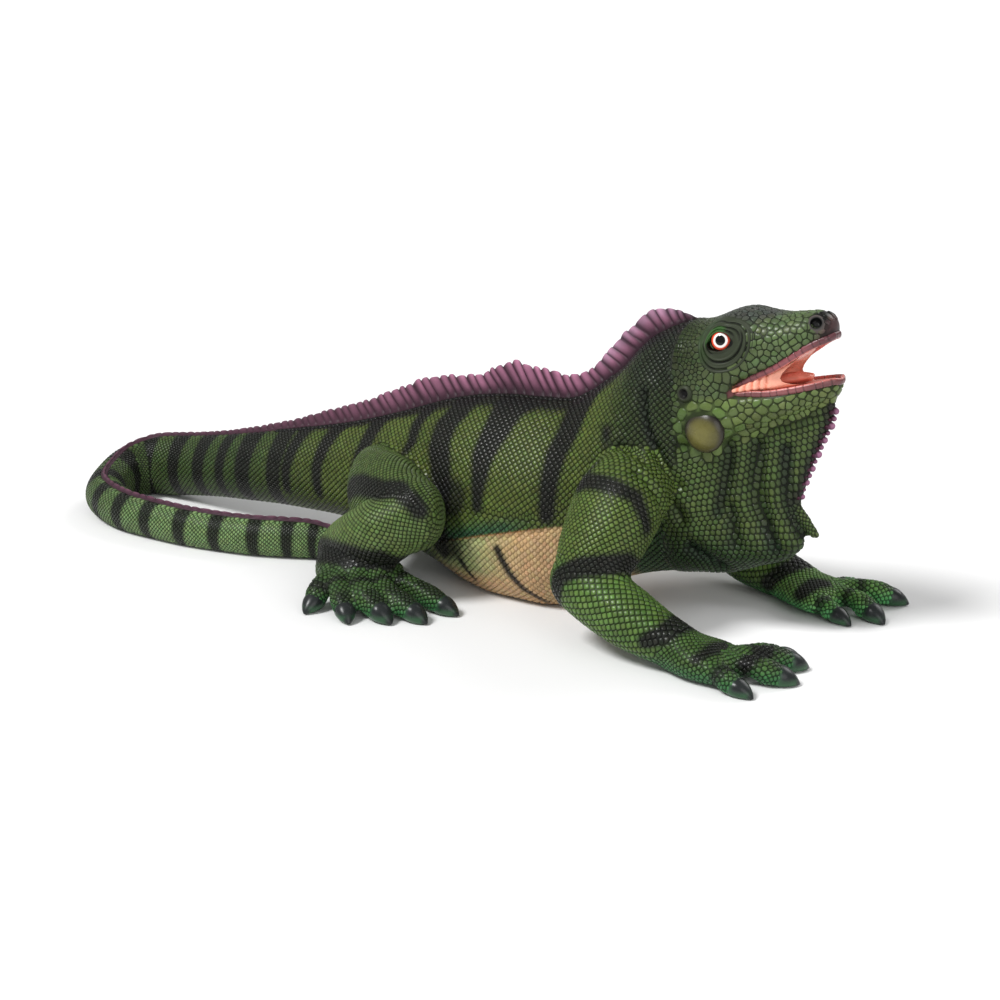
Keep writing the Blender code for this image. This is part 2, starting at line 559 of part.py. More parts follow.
def make_digits(limb, letter, side, digits):
    """Fingers or toes as bent tubes, to be joined, and on the end of each its claw."""
    fleshy = []
    for number, (knuckle, joint, root, radius) in enumerate(digits, 1):
        path = [(*point, radius * scale, radius * scale * DIGIT_FLAT)
                for point, scale in zip((knuckle, joint, root), DIGIT_SCALES)]
        wide = (knuckle[1] - root[1], root[0] - knuckle[0], 0)
        tube = tube_rings(path, wide, side, around=DIGIT_AROUND, steps=3, caps=(1, 0))
        fleshy.append(loft(f"digit_{limb}_{number}_{letter}", tube))
        end = tube[-1]
        middle = end.mean(axis=0)
        ahead = (np.array(root) - joint) * (1, side, 0)
        ahead /= np.linalg.norm(ahead)
        rings = []
        for share, scale, height in CLAW_SLICES:
            centre = (middle + ahead * (GAP + share * CLAW_LENGTH)) * (1, 1, height)
            ring = centre + (end - middle) * scale
            ring[:, 2] = np.maximum(ring[:, 2], 0.0)
            rings.append(ring)
        loft(f"claw_{limb}_{number}_{letter}", rings, "claw")
    return fleshy


def make_arm(letter, side, body):
    """Upper arm, forearm and hand, each cut back where the next one lies."""
    along, across = (1, 0, 0), (0, 1, 0)
    upper = limb_piece("upper_arm_" + letter, UPPER_ARM, along, side)
    forearm = ("forearm_" + letter, FOREARMS[letter], across, side)
    limb_piece(*forearm)
    forearm_room = limb_room(*forearm)
    hand = limb_piece("hand_" + letter, PALMS[letter], across, side)
    boolean(upper, "DIFFERENCE", body, forearm_room)
    boolean(hand, "UNION", *make_digits("finger", letter, side, FINGERS[letter]))
    boolean(hand, "DIFFERENCE", forearm_room)


def make_leg(letter, side, body):
    """Thigh, shank and foot, each cut back where the one above it lies."""
    upright, across = (0, 0, 1), (0, 1, 0)
    thigh = ("thigh_" + letter, THIGH, upright, side)
    shank = ("shank_" + letter, SHANK, upright, side)
    boolean(limb_piece(*thigh), "DIFFERENCE", body)
    boolean(limb_piece(*shank), "DIFFERENCE", limb_room(*thigh), body)
    foot = limb_piece("foot_" + letter, SOLE, across, side)
    boolean(foot, "UNION", *make_digits("toe", letter, side, TOES))
    boolean(foot, "DIFFERENCE", limb_room(*shank))


def main():
    make_body()
    make_shields(make_head())
    make_dewlap()
    body = make_crest()
    for letter, side in SIDES:
        make_arm(letter, side, body)
        make_leg(letter, side, body)


main()
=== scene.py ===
"""Looks of the painted iguana figure: one skin, its coat of scales, the crest and the paint.

Lengths are in metres; +X runs to the snout, +Y to the animal's left and +Z up.
"""

import bpy
import numpy as np
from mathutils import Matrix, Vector


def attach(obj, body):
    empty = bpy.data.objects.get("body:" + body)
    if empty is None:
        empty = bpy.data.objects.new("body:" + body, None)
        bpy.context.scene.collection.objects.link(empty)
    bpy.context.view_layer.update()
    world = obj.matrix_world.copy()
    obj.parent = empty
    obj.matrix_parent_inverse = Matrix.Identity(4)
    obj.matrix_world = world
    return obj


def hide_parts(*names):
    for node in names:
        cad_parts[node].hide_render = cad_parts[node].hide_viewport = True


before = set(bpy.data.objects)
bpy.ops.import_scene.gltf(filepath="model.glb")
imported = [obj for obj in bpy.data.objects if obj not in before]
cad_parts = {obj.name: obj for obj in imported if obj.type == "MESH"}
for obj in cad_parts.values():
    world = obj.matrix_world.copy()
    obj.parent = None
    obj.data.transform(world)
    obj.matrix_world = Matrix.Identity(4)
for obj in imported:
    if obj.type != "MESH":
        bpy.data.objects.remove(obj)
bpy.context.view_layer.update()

PI = np.pi
SIDES = (("R", -1), ("L", 1))
RANDOM = np.random.default_rng(7)

# How far the skin lies inside the outline, for the scales on it, and the width of the cells
# that run the flesh together
COAT, VOXEL = 0.0009, 0.0029


def mm(*rows):
    """Lengths in millimetres, as an array in metres."""
    return np.array(rows, float) / 1000


# Body slices, neck to tail's tip: x and y of the middle, underside, back and half width, all
# in mm; factors of the width above and below, squareness below and above
BODY = np.array([
    (124, 0, 46, 265.5, 45, 0.86, 0.8, 2.6, 2.6), (108, 0, 43, 262, 48, 0.8, 0.84, 2.6, 2.5),
    (92, 0, 39.5, 254.5, 52, 0.74, 0.88, 2.7, 2.4), (76, 0, 34.5, 244, 56, 0.68, 0.9, 2.8, 2.3),
    (54, 0, 25, 220, 61, 0.63, 0.92, 3, 2.2), (29, 0, 4, 198.5, 66, 0.6, 0.94, 3.3, 2.15),
    (5, 0, -5.8, 183.5, 70, 0.58, 0.94, 3.5, 2.15), (-30, 0, -6.2, 178, 73, 0.56, 0.94, 3.6, 2.15),
    (-65, 0, -5.8, 175.5, 72, 0.56, 0.93, 3.6, 2.15), (-90, 0, -1, 172, 70, 0.56, 0.92, 3.5, 2.15),
    (-120, 0, 7, 165.5, 65, 0.57, 0.9, 3.2, 2.15), (-150, 0, 13.5, 156, 59, 0.58, 0.88, 2.9, 2.15),
    (-180, 0, 20, 145, 52, 0.6, 0.88, 2.6, 2.15), (-212, 0, 24, 134, 45, 0.62, 0.9, 2.4, 2.15),
    (-262, 0, 26.2, 119, 38.5, 0.66, 0.92, 2.2, 2.15),
    (-303, 0, 25.2, 109.3, 35, 0.7, 0.94, 2.2, 2.15),
    (-345, 1, 22.6, 99.5, 32, 0.74, 0.95, 2.1, 2.1),
    (-386, 3, 18.4, 90, 29.5, 0.78, 0.96, 2.1, 2.1),
    (-425, 7, 13.6, 81, 27.5, 0.82, 0.97, 2.1, 2.1),
    (-460, 11, 8, 73.8, 26.2, 0.86, 0.97, 2.1, 2.1),
    (-497, 12, 2, 67.8, 24.8, 0.9, 0.98, 2.1, 2.05), (-528, 6, -1.8, 62, 23.4, 0.94, 0.98, 2, 2),
    *((*row, 0.96, 1, 2, 2) for row in (
        (-542.5, -16.5, -2.2, 54.5, 22.2), (-536.5, -45.5, -2.2, 47, 21.2),
        (-522, -71, -2.2, 41.8, 20.4), (-493, -89, -2.2, 40, 19.8), (-458, -99, -2.2, 38.8, 19.2),
        (-420, -101, -1.2, 37.8, 18.7), (-380, -99, -2.2, 36.8, 18.2),
        (-342, -92.5, -2.2, 36.2, 18), (-308, -84, -2.2, 36.5, 17.8),
        (-279, -71.5, -2.2, 36.6, 17.4), (-252, -59, -2.2, 35, 16), (-222, -52, -1.6, 27, 13.5),
        (-190, -48, -1.2, 18.5, 9.2), (-158, -48, -0.6, 9, 4.5))),
]) / np.repeat((1000, 1), (5, 4))
# Head slices: x, lip or palate line, crown and half width in mm, factors above and below
HEAD = np.array((
    (124.4, 213, 265.5, 40, 0.76, 1.06), (136, 214, 269, 41, 0.78, 1.05),
    (148, 215, 274.5, 40, 0.86, 1.04), (160, 215.5, 280.2, 37.5, 0.96, 1.04),
    (170, 217.5, 282.5, 34.5, 0.94, 1.03), (186, 226.5, 281.5, 31, 0.78, 1.04),
    (203, 236, 281.5, 28, 0.7, 1.06), (219, 247.5, 284, 23.8, 0.74, 1.05),
    (230, 255.5, 285.5, 19.8, 0.84, 1.02), (238, 260.2, 284.5, 15.6, 0.88, 1),
    (243.5, 263, 280, 10.5, 0.9, 1), (246, 266, 273.5, 4.5, 0.9, 1),
)) / np.repeat((1000, 1), (4, 2))
# Lower jaw slices: x, underside, lip line and half width in mm, factors above and below
JAW = np.array((
    (124.4, 152, 212.6, 43, 1, 0.86), (140, 156.5, 213.6, 44, 1, 0.86),
    (152, 161, 214.2, 43.5, 0.98, 0.84), (166, 168, 215.5, 40, 0.94, 0.8),
    (182, 177, 217.5, 35.5, 0.92, 0.72), (200, 187, 220, 31, 0.95, 0.66),
    (218, 197.5, 224.5, 25.5, 0.98, 0.64), (234, 207, 229, 19, 1, 0.66),
    (245, 214, 232, 12.5, 1, 0.7), (250.5, 219, 232.5, 7, 1, 0.8), (252.2, 224, 231, 3, 1, 0.9),
)) / np.repeat((1000, 1), (4, 2))
# Dewlap slices from below: height at its back, height at its front edge, front edge x,
# half width at the back, half width near the front; then the x of its root
DEWLAP = mm(
    (46.5, 50, 150, 18, 10), (53, 57, 176, 29, 15), (60, 67, 198, 34.5, 17),
    (69, 76, 216, 37.5, 17), (80, 92, 226.5, 39.5, 16), (92, 111, 221.5, 41, 15),
    (104, 128, 222, 42, 14.5), (118, 154, 230, 42.5, 14), (132, 178, 239, 42.5, 13),
    (145, 198, 247, 41, 12), (158, 219, 249, 38, 9.5))
DEWLAP_BACK = 0.114
# Slices of tubes: x, distance from the middle plane, z, half width, half depth
DEWLAP_LOBE = mm((212, 0.6, 117, 6, 9), (233, 0, 98.5, 4, 6))
TONGUE = mm(
    (191, 0, 221.5, 12.5, 3.5), (203, 0, 225.5, 12.5, 4.5), (215, 0, 228.5, 9.5, 4),
    (224, 0, 230.5, 6, 2.5))
UPPER_ARM = mm(
    (86, 40, 132, 36, 30), (89, 66, 122, 40, 32), (89, 86, 102, 40, 30), (86, 101, 80, 36, 27),
    (84, 110, 62, 31, 24))
FOREARMS = {
    "R": mm(
        (78, 110, 57, 26, 28), (98, 113, 48, 27, 27), (124, 114, 37, 27, 26),
        (152, 114, 27, 24, 22), (178, 113, 20, 21, 18)),
    "L": mm(
        (80, 111, 55, 25, 27), (98, 108, 43, 27, 28), (124, 103, 31, 27, 28), (152, 99, 21, 25, 22),
        (178, 96, 16, 22, 18)),
}
PALMS = {
    "R": mm(
        (170, 113, 18, 20, 18.5), (190, 113, 16, 27, 17.5), (208, 108, 13, 31, 15)),
    "L": mm(
        (170, 93, 15, 22, 16.5), (190, 90, 13.5, 31, 15), (208, 88, 11.5, 36, 12.5)),
}
THIGH = mm(
    (-190, 45, 82, 36, 26), (-172, 64, 80, 43, 30), (-145, 82, 79, 46, 32), (-118, 96, 80, 41, 30),
    (-100, 103, 82, 34, 26))
SHANK = mm(
    (-102, 112, 80, 25, 21), (-122, 119, 66, 30, 26), (-148, 118, 53, 29, 25),
    (-172, 111, 42, 25, 22), (-187, 107, 34, 20, 19))
SOLE = mm(
    (-184, 112, 20, 20, 21.5), (-169, 121, 22.5, 27, 25), (-148, 127, 23, 29, 25),
    (-132, 122, 22.5, 23, 23))
# Digits: x, out and z of the knuckle, the middle joint and the claw's root; then the radius.
# The right hand turns in a little and the left one out.
FINGERS = {
    "R": mm(
        (192, 88, 10, 202, 67, 10, 209, 53, 5.2, 6.4),
        (203, 86, 12, 220, 61, 13, 232, 45, 6.2, 7.2),
        (210, 97, 14, 232, 77, 15, 247.5, 61.5, 7.7, 10.8),
        (212, 110, 14, 237, 104, 15, 254.5, 93.5, 7.7, 11.4),
        (203, 124, 12, 220, 131, 14, 236.5, 132.5, 7.2, 10)),
    "L": mm(
        (198, 78, 11, 214, 66, 12, 229, 62, 7.2, 9.4),
        (207, 94, 12, 233, 91, 14, 251.5, 84, 7.7, 10.8),
        (207, 108, 13, 231, 120, 15, 248.5, 130, 7.7, 10.8),
        (199, 116, 12, 219, 134, 12, 232, 146, 6.2, 7.6),
        (190, 116, 10, 200, 138, 10, 207, 150, 5.2, 6.6)),
}
TOES = mm(
    (-163, 145, 24, -162, 162, 20, -161, 172, 8.2, 10.8),
    (-155, 142, 26, -141, 162, 22, -123.5, 176, 8.7, 10.8),
    (-141, 139, 27, -119, 157, 21, -96.5, 162, 9.2, 11.6),
    (-132, 130, 27, -101, 143, 20, -72.5, 145.5, 8.7, 11.2),
    (-125, 116, 26, -93, 118, 20, -62, 116, 8.2, 10.8))
# Crest: distance along the back, height of the spines' tips above it
CREST = mm(
    (4, 1), (16, 8), (30, 18), (46, 27), (70, 31), (95, 22), (124, 20), (154, 26), (200, 27),
    (212, 20), (244, 21), (276, 26), (319, 23), (359, 18), (399, 15), (429, 11), (510, 5), (579, 3),
    (700, 3), (1200, 3))

# Distance along the plan line of the back at each body slice
ALONG = np.concatenate([[0], np.cumsum(np.hypot(*np.diff(BODY[:, :2], axis=0).T))])
LIP_SQUARE, CROWN_SQUARE, JAW_SQUARE = 5.0, 2.5, 2.4


def smooth(places, values, at):
    """A cubic through the values at rising places, its slope at each that of its neighbours."""
    places, values = np.asarray(places, float), np.asarray(values, float)
    slopes = np.gradient(values, places, axis=0)
    at = np.clip(at, places[0], places[-1])
    k = np.clip(np.searchsorted(places, at) - 1, 0, len(places) - 2)
    step = (places[k + 1] - places[k])[:, None]
    t = (at - places[k])[:, None] / step
    return (
        values[k] * (1 + 2 * t) * (1 - t) ** 2
        + slopes[k] * step * t * (1 - t) ** 2
        + values[k + 1] * t * t * (3 - 2 * t)
        + slopes[k + 1] * step * t * t * (t - 1)
    )


def along_table(table, at):
    """A table's further columns at places along its first one."""
    return smooth(table[:, 0], table[:, 1:], at)


def unit(vectors):
    """The vectors divided by their lengths."""
    return vectors / np.maximum(np.linalg.norm(vectors, axis=-1, keepdims=True), 1e-12)


def rise(value, start, end):
    """0 before start, 1 after end, and an even S between them."""
    t = np.clip((value - start) / (end - start), 0, 1)
    return t * t * (3 - 2 * t)


def bell(value, width):
    """A bell curve: 1 at 0 and 1 / e at a width to either side of it."""
    return np.exp(-((value / width) ** 2))


def signed_power(value, exponent):
    """The size of a value raised to a power, with the value's own sign."""
    return np.sign(value) * np.abs(value) ** exponent


def length_run(path):
    """Length along a path up to each of its points."""
    return np.concatenate([[0], np.cumsum(np.linalg.norm(np.diff(path, axis=0), axis=1))])


def resample(path, at):
    """Points of a path at distances along it."""
    run = length_run(path)
    return np.stack([np.interp(at, run, path[:, k]) for k in range(3)], 1)


def width_factor(up, over, under):
    """Factor of a slice's width at a share of its half height: under, then 1, then over."""
    return 1 + (over - under) / 2 * up + ((over + under) / 2 - 1) * up**2


def half_width(up, half, over, under, square):
    """Half the width of a slice at a share, up, of its half height.

    It is half x width factor x (1 - |up| ^ square) ^ (1 / square).
    """
    return half * width_factor(up, over, under) * (1 - np.abs(up) ** square) ** (1 / square)


def slice_points(rows, turn, below, above, grow):
    """Across and up on a superellipse whose width changes with height; turn 0 is the top."""
    low, high, half, over, under = rows.T[:5]
    power = 2 / np.where(np.cos(turn) < 0, below, above)
    up = signed_power(np.cos(turn), power)
    wide = (half + grow) * width_factor(up, over, under)
    across = wide * signed_power(np.sin(turn), power)
    return across, (low + high) / 2 + ((high - low) / 2 + grow) * up


def body_frame(at):
    """Points of the back's plan line, forward directions and slice rows at distances along it."""
    rows = smooth(ALONG, BODY, at)
    ahead = smooth(ALONG, BODY[:, :2], at - 0.001)
    ahead = unit(ahead - smooth(ALONG, BODY[:, :2], at + 0.001))
    return rows[:, :2], ahead, rows[:, 2:]


def body_shape(at, turn, grow=-COAT):
    """The neck, trunk and tail: an upright superellipse squared to the line of the back."""
    path, ahead, rows = body_frame(at)
    across, up = slice_points(rows, turn, rows[:, 5], rows[:, 6], grow)
    return np.stack(
        [path[:, 0] - ahead[:, 1] * across, path[:, 1] + ahead[:, 0] * across,
         np.maximum(up, -grow)], axis=1)


def level_shape(table, below, above):
    """A function giving points of upright slices of the head or the jaw at x and turn."""
    def shape(at, turn, grow=-COAT):
        """A superellipse at x, whose sizes follow a smooth curve through the table."""
        rows = along_table(table, at)
        across, up = slice_points(rows, turn, below, above, grow)
        return np.stack([np.broadcast_to(at, across.shape), across, up], axis=1)

    return shape


head_shape = level_shape(HEAD, LIP_SQUARE, CROWN_SQUARE)
jaw_shape = level_shape(JAW, JAW_SQUARE, LIP_SQUARE)


def dewlap_shape(level, turn, grow=-COAT):
    """The throat fan: at each level a leaf, from its root in the neck to a blunt front edge.

    Across a leaf, turn 0 is the front edge, and reach = cos(turn / 2) is the share of the
    way from root to front.  The half width eases from root to front as sin(reach x 90
    degrees) ^ 1.5, times the square root of 1 - reach ^ 5.
    """
    back_z, front_z, front_x, half_back, half_front = smooth(
        np.arange(len(DEWLAP)), DEWLAP, level).T
    reach = np.cos(turn / 2)
    half = half_back + (half_front - half_back) * np.sin(reach * PI / 2) ** 1.5
    half = (half + grow) * np.sqrt(np.maximum(1 - reach**5, 0)) * np.sign(turn)
    x = DEWLAP_BACK + reach * (front_x + grow - DEWLAP_BACK)
    return np.stack([x, half, back_z + reach * (front_z - back_z)], axis=1)


def tube_shape(table, wide, out, side):
    """A function for points round a bent elliptic tube with rounded ends, its length and table.

    The rows are x, out, z, half width and half depth.  wide is the way of the half width;
    turn 0 faces the way of out.  Past an end the slices shrink as a half ellipse.
    """
    table = np.array(table, float) * (1, side, 1, 1, 1)
    count = len(table)
    fine = np.linspace(0, count - 1, 30 * count)
    path = smooth(np.arange(count), table[:, :3], fine)
    run = length_run(path)
    wide, out = np.array(wide, float) * (1, side, 1), np.array(out, float) * (1, side, 1)

    def shape(at, turn, grow=-COAT):
        """Ellipse: middle + half depth x cos(turn) outwards + half width x sin(turn)."""
        place = np.interp(at, run, fine)
        rows = smooth(np.arange(count), table, place)
        ahead = unit(smooth(np.arange(count), table[:, :3], place + 0.05)
                     - smooth(np.arange(count), table[:, :3], place - 0.05))
        width = unit(wide - ahead * (ahead @ wide)[:, None])
        depth = np.cross(ahead, width)
        depth = depth * np.sign(depth @ out)[:, None]
        past = at - np.clip(at, 0, run[-1])
        scale = np.sqrt(np.maximum(1 - (past / rows[:, 4]) ** 2, 0))
        points = rows[:, :3] + ahead * past[:, None]
        points += ((rows[:, 3] + grow) * scale * np.sin(turn))[:, None] * width
        points += ((rows[:, 4] + grow) * scale * np.cos(turn))[:, None] * depth
        points[:, 2] = np.maximum(points[:, 2], -grow)
        return points

    return shape, run[-1], table


def grid_of(shape, stations, turns):
    """Points of a shape on a grid of stations by turns."""
    at, turn = np.meshgrid(stations, turns, indexing="ij")
    return shape(at.ravel(), turn.ravel()).reshape(*at.shape, 3)


def spread_on(centre, one, two, across, up):
    """Points centre + across x one + up x two, for grids of across and up."""
    return centre + across[..., None] * one + up[..., None] * two


def facing_out(points, faces):
    """Turn every face round where the closed surface's signed volume is below zero."""
    volume = 0.0
    for group in faces:
        for k in range(1, group.shape[1] - 1):
            a, b, c = points[group[:, 0]], points[group[:, k]], points[group[:, k + 1]]
            volume += np.einsum("ij,ij->", a, np.cross(b, c))
    return [group[:, ::-1] for group in faces] if volume < 0 else faces


def loft(grid):
    """Points and faces of rings joined into a tube, with a fan at each end."""
    n, m = grid.shape[:2]
    index = np.arange(n * m).reshape(n, m)
    beside = np.roll(index, -1, axis=1)
    quads = np.stack([index[:-1], beside[:-1], beside[1:], index[1:]], -1).reshape(-1, 4)
    first = np.stack([beside[0], index[0], np.full(m, n * m)], 1)
    last = np.stack([index[-1], beside[-1], np.full(m, n * m + 1)], 1)
    points = np.concatenate([grid.reshape(-1, 3), grid[:1].mean(1), grid[-1:].mean(1)])
    return points, facing_out(points, [quads, np.concatenate([first, last])])


def capped(colours):
    """Colours of a lofted grid: its own, then one for the middle of each end."""
    flat = colours.reshape(-1, 3)
    return np.concatenate([flat, flat[:1], flat[-1:]])


def sheet(grid, flip):
    """Points and faces of a grid as a sheet, its second way closed."""
    n, m = grid.shape[:2]
    index = np.arange(n * m).reshape(n, m)
    index = np.concatenate([index, index[:, :1]], axis=1)
    quads = np.stack([index[:-1, :-1], index[:-1, 1:], index[1:, 1:], index[1:, :-1]], -1)
    quads = quads.reshape(-1, 4)
    return grid.reshape(-1, 3), [quads[:, ::-1] if flip else quads]


def joined(parts):
    """Several (points, faces) as one."""
    points, faces, start = [], [], 0
    for some, groups in parts:
        points.append(some)
        faces += [group + start for group in groups]
        start += len(some)
    return np.concatenate(points), faces


def linked(name, data):
    """A new object of the data, in the scene."""
    obj = bpy.data.objects.new(name, data)
    bpy.context.scene.collection.objects.link(obj)
    return obj


def set_points(mesh, points):
    """Put the points of a mesh in their places."""
    mesh.vertices.foreach_set("co", np.asarray(points, np.float32).ravel())


def set_paint(mesh, colours):
    """Give a mesh a colour per point, in the layer that the finishes read."""
    colours = np.concatenate([np.clip(colours, 0, 1), np.ones((len(colours), 1))], axis=1)
    layer = mesh.attributes.new("paint", "FLOAT_COLOR", "POINT")
    layer.data.foreach_set("color", colours.astype(np.float32).ravel())


def add_object(name, points, faces, material=None, paint=None, uv=None):
    """A mesh object with smooth shading, a colour per point and, if given, a UV per point."""
    mesh = bpy.data.meshes.new(name)
    sizes = np.concatenate([np.full(len(group), group.shape[1]) for group in faces])
    corners = np.concatenate([group.ravel() for group in faces]).astype(np.int32)
    mesh.vertices.add(len(points))
    set_points(mesh, points)
    mesh.loops.add(len(corners))
    mesh.loops.foreach_set("vertex_index", corners)
    mesh.polygons.add(len(sizes))
    starts = np.concatenate([[0], np.cumsum(sizes)[:-1]]).astype(np.int32)
    mesh.polygons.foreach_set("loop_start", starts)
    mesh.polygons.foreach_set("use_smooth", np.ones(len(sizes), bool))
    mesh.update(calc_edges=True)
    if paint is not None:
        set_paint(mesh, paint)
    if uv is not None:
        layer = mesh.uv_layers.new(name="OFBake")
        layer.data.foreach_set("uv", uv[corners].astype(np.float32).ravel())
    if material:
        mesh.materials.append(material)
    return linked(name, mesh)


def coordinates(mesh, what="vertices", field="co"):
    """A mesh's points or normals as an array."""
    found = getattr(mesh, what)
    values = np.empty(len(found) * 3, np.float32)
    found.foreach_get(field, values)
    return values.reshape(-1, 3).astype(float)


def evaluated(obj):
    """An object as its modifiers leave it."""
    bpy.context.view_layer.update()
    return obj.evaluated_get(bpy.context.evaluated_depsgraph_get())


def onto(target, points, offset=0.0):
    """The points' nearest places on a surface, or that far above it."""
    cloud = bpy.data.meshes.new("probe")
    cloud.vertices.add(len(points))
    set_points(cloud, points)
    obj = linked("probe", cloud)
    wrap = obj.modifiers.new("wrap", "SHRINKWRAP")
    wrap.target = target
    wrap.wrap_method = "NEAREST_SURFACEPOINT"
    wrap.wrap_mode = "ABOVE_SURFACE" if offset else "ON_SURFACE"
    wrap.offset = offset
    found = coordinates(evaluated(obj).data)
    bpy.data.objects.remove(obj)
    bpy.data.meshes.remove(cloud)
    return found


def nearest(points, seeds, count, window=0.02, chunk=400):
    """Numbers of the nearest seeds to each point, and how far off they are.

    Both are sorted by x, so each run of points is only measured against a window of seeds.
    """
    order, by_x = np.argsort(points[:, 0]), np.argsort(seeds[:, 0])
    line = seeds[by_x, 0]
    found = np.zeros((len(points), count), int)
    far = np.full((len(points), count), 9.0)
    for start in range(0, len(points), chunk):
        some = order[start:start + chunk]
        low, high = points[some[0], 0] - window, points[some[-1], 0] + window
        i, j = np.searchsorted(line, low), np.searchsorted(line, high)
        i, j = max(0, min(i, len(seeds) - count)), max(j, min(len(seeds), i + count))
        near = by_x[i:max(j, i + count)]
        gap = points[some][:, None] - seeds[near][None]
        gap = np.einsum("ijk,ijk->ij", gap, gap)
        pick = np.argpartition(gap, min(count, gap.shape[1] - 1), axis=1)[:, :count]
        size = np.take_along_axis(gap, pick, 1)
        rank = np.argsort(size, axis=1)
        found[some] = near[np.take_along_axis(pick, rank, 1)]
        far[some] = np.sqrt(np.take_along_axis(size, rank, 1))
    return found, far


def from_line(points, line, halves):
    """How far points lie inside a stroke: its half width less the distance to its line.

    line is a list of points and halves the stroke's half widths at its two ends.
    """
    line = np.array(line, float)
    inside = np.full(len(points), -9.0)
    share = np.linspace(halves[0], halves[1], len(line))
    for a, b, wide, thin in zip(line, line[1:], share, share[1:]):
        t = np.clip((points - a) @ (b - a) / ((b - a) @ (b - a)), 0, 1)
        gap = np.linalg.norm(points - a - t[:, None] * (b - a), axis=1)
        inside = np.maximum(inside, wide + (thin - wide) * t - gap)
    return inside


def folded(points):
    """The points with the right side laid over the left one."""
    return points * (1, 0, 1) + np.abs(points) * (0, 1, 0)


# ---- the surfaces of flesh, and the one skin over them ----

BODY_KIND, HEAD_KIND, DEWLAP_KIND, ARM_KIND, FOREARM_KIND, HAND_KIND = range(6)
LEG_KIND, SHANK_KIND, FOOT_KIND, DIGIT_KIND, TOE_KIND, BEAD_KIND = range(6, 12)

ALONG_X, ACROSS, UPRIGHT, OUTWARDS = (1, 0, 0), (0, 1, 0), (0, 0, 1), (0, 1, 0.35)


def digit_table(digit):
    """A finger or toe: full at the knuckle, waisted past it and swollen before the claw."""
    knuckle, joint, root = digit[:9].reshape(3, 3)
    places = (knuckle, joint, joint * 0.45 + root * 0.55, root)
    return [(*place, digit[9] * size, digit[9] * size * 0.94)
            for place, size in zip(places, (0.98, 0.9, 1.08, 0.92))]


def limbs():
    """Every length of limb: kind, side, its shape, length, table, and pitch of its scales."""
    found = []
    for letter, side in SIDES:
        pieces = [
            (ARM_KIND, UPPER_ARM, ALONG_X, OUTWARDS, 0.0052),
            (FOREARM_KIND, FOREARMS[letter], ACROSS, UPRIGHT, 0.0058),
            (HAND_KIND, PALMS[letter], ACROSS, UPRIGHT, 0.0046),
            (LEG_KIND, THIGH, UPRIGHT, OUTWARDS, 0.0048),
            (SHANK_KIND, SHANK, UPRIGHT, OUTWARDS, 0.005),
            (FOOT_KIND, SOLE, ACROSS, UPRIGHT, 0.0046),
        ]
        for kind, digits in ((DIGIT_KIND, FINGERS[letter]), (TOE_KIND, TOES)):
            for digit in digits:
                wide = (digit[1] - digit[7], digit[6] - digit[0], 0)
                pieces.append((kind, digit_table(digit), wide, UPRIGHT, 0.004))
        for kind, table, wide, out, pitch in pieces:
            found.append((kind, side, *tube_shape(table, wide, out, side), pitch))
    return found


LIMBS = limbs()


def tube_stations(length, table, step):
    """Distances along a tube, closer together over its rounded ends."""
    bend = np.linspace(0.12, PI / 2, 7)[:-1]
    before = -table[0, 4] * np.cos(bend)
    after = length + table[-1, 4] * np.cos(bend[::-1])
    return np.concatenate([before, np.linspace(0, length, round(length / step) + 2), after])


def flesh():
    """The closed surfaces of body, head, jaw, dewlap and limbs, running into one another."""
    turns = np.linspace(-PI, PI, 97)[:-1]
    parts = [loft(grid_of(body_shape, np.arange(0, ALONG[-1], 0.004), turns))]
    for shape, table in ((head_shape, HEAD), (jaw_shape, JAW)):
        start, end = table[0][0], table[-1][0]
        at = start + np.linspace(0, 1, 60) ** 0.8 * (end - start)
        grid = grid_of(shape, at, turns)
        back = grid[:1] * (1, 0.96, 1) - (0.01, 0, 0)
        parts.append(loft(np.concatenate([back, grid])))
    # the cheek behind the corner of the mouth fills the cut between head and jaw
    at = np.linspace(0.112, 0.1705, 12)
    fill = jaw_shape(at, np.zeros(12)), head_shape(at, np.zeros(12))
    low, high = fill[0][:, 2] - 0.014, fill[1][:, 2] - 0.04
    width = np.abs(jaw_shape(at, np.full(12, PI / 2))[:, 1]) - np.where(at < 0.164, 0.001, 0.0022)
    angle = turns[::4]
    ring = signed_power(np.stack([np.sin(angle), np.cos(angle)], 1), 0.5)
    grid = np.stack([np.broadcast_to(at[:, None], (12, len(angle))),
                     width[:, None] * ring[:, 0],
                     ((low + high) / 2)[:, None] + ((high - low) / 2)[:, None] * ring[:, 1]], 2)
    parts.append(loft(grid))
    parts.append(loft(grid_of(dewlap_shape, np.linspace(0, len(DEWLAP) - 1, 50), turns)))
    lobe, length, table = tube_shape(DEWLAP_LOBE, ACROSS, UPRIGHT, 1)
    parts.append(loft(grid_of(lobe, tube_stations(length, table, 0.004), turns[::4])))
    for _kind, _side, shape, length, table, _pitch in LIMBS:
        parts.append(loft(grid_of(shape, tube_stations(length, table, 0.004), turns[::3])))
    return joined(parts)


def relax(points, edges, rounds, share=0.5):
    """Move each point part of the way to the mean of its neighbours, so joins blend."""
    a, b = edges.T
    count = np.bincount(a, minlength=len(points)) + np.bincount(b, minlength=len(points))
    for _ in range(rounds):
        total = np.stack([
            np.bincount(a, points[b, k], len(points)) + np.bincount(b, points[a, k], len(points))
            for k in range(3)], axis=1)
        points = points + share * (total / np.maximum(count, 1)[:, None] - points)
    return points


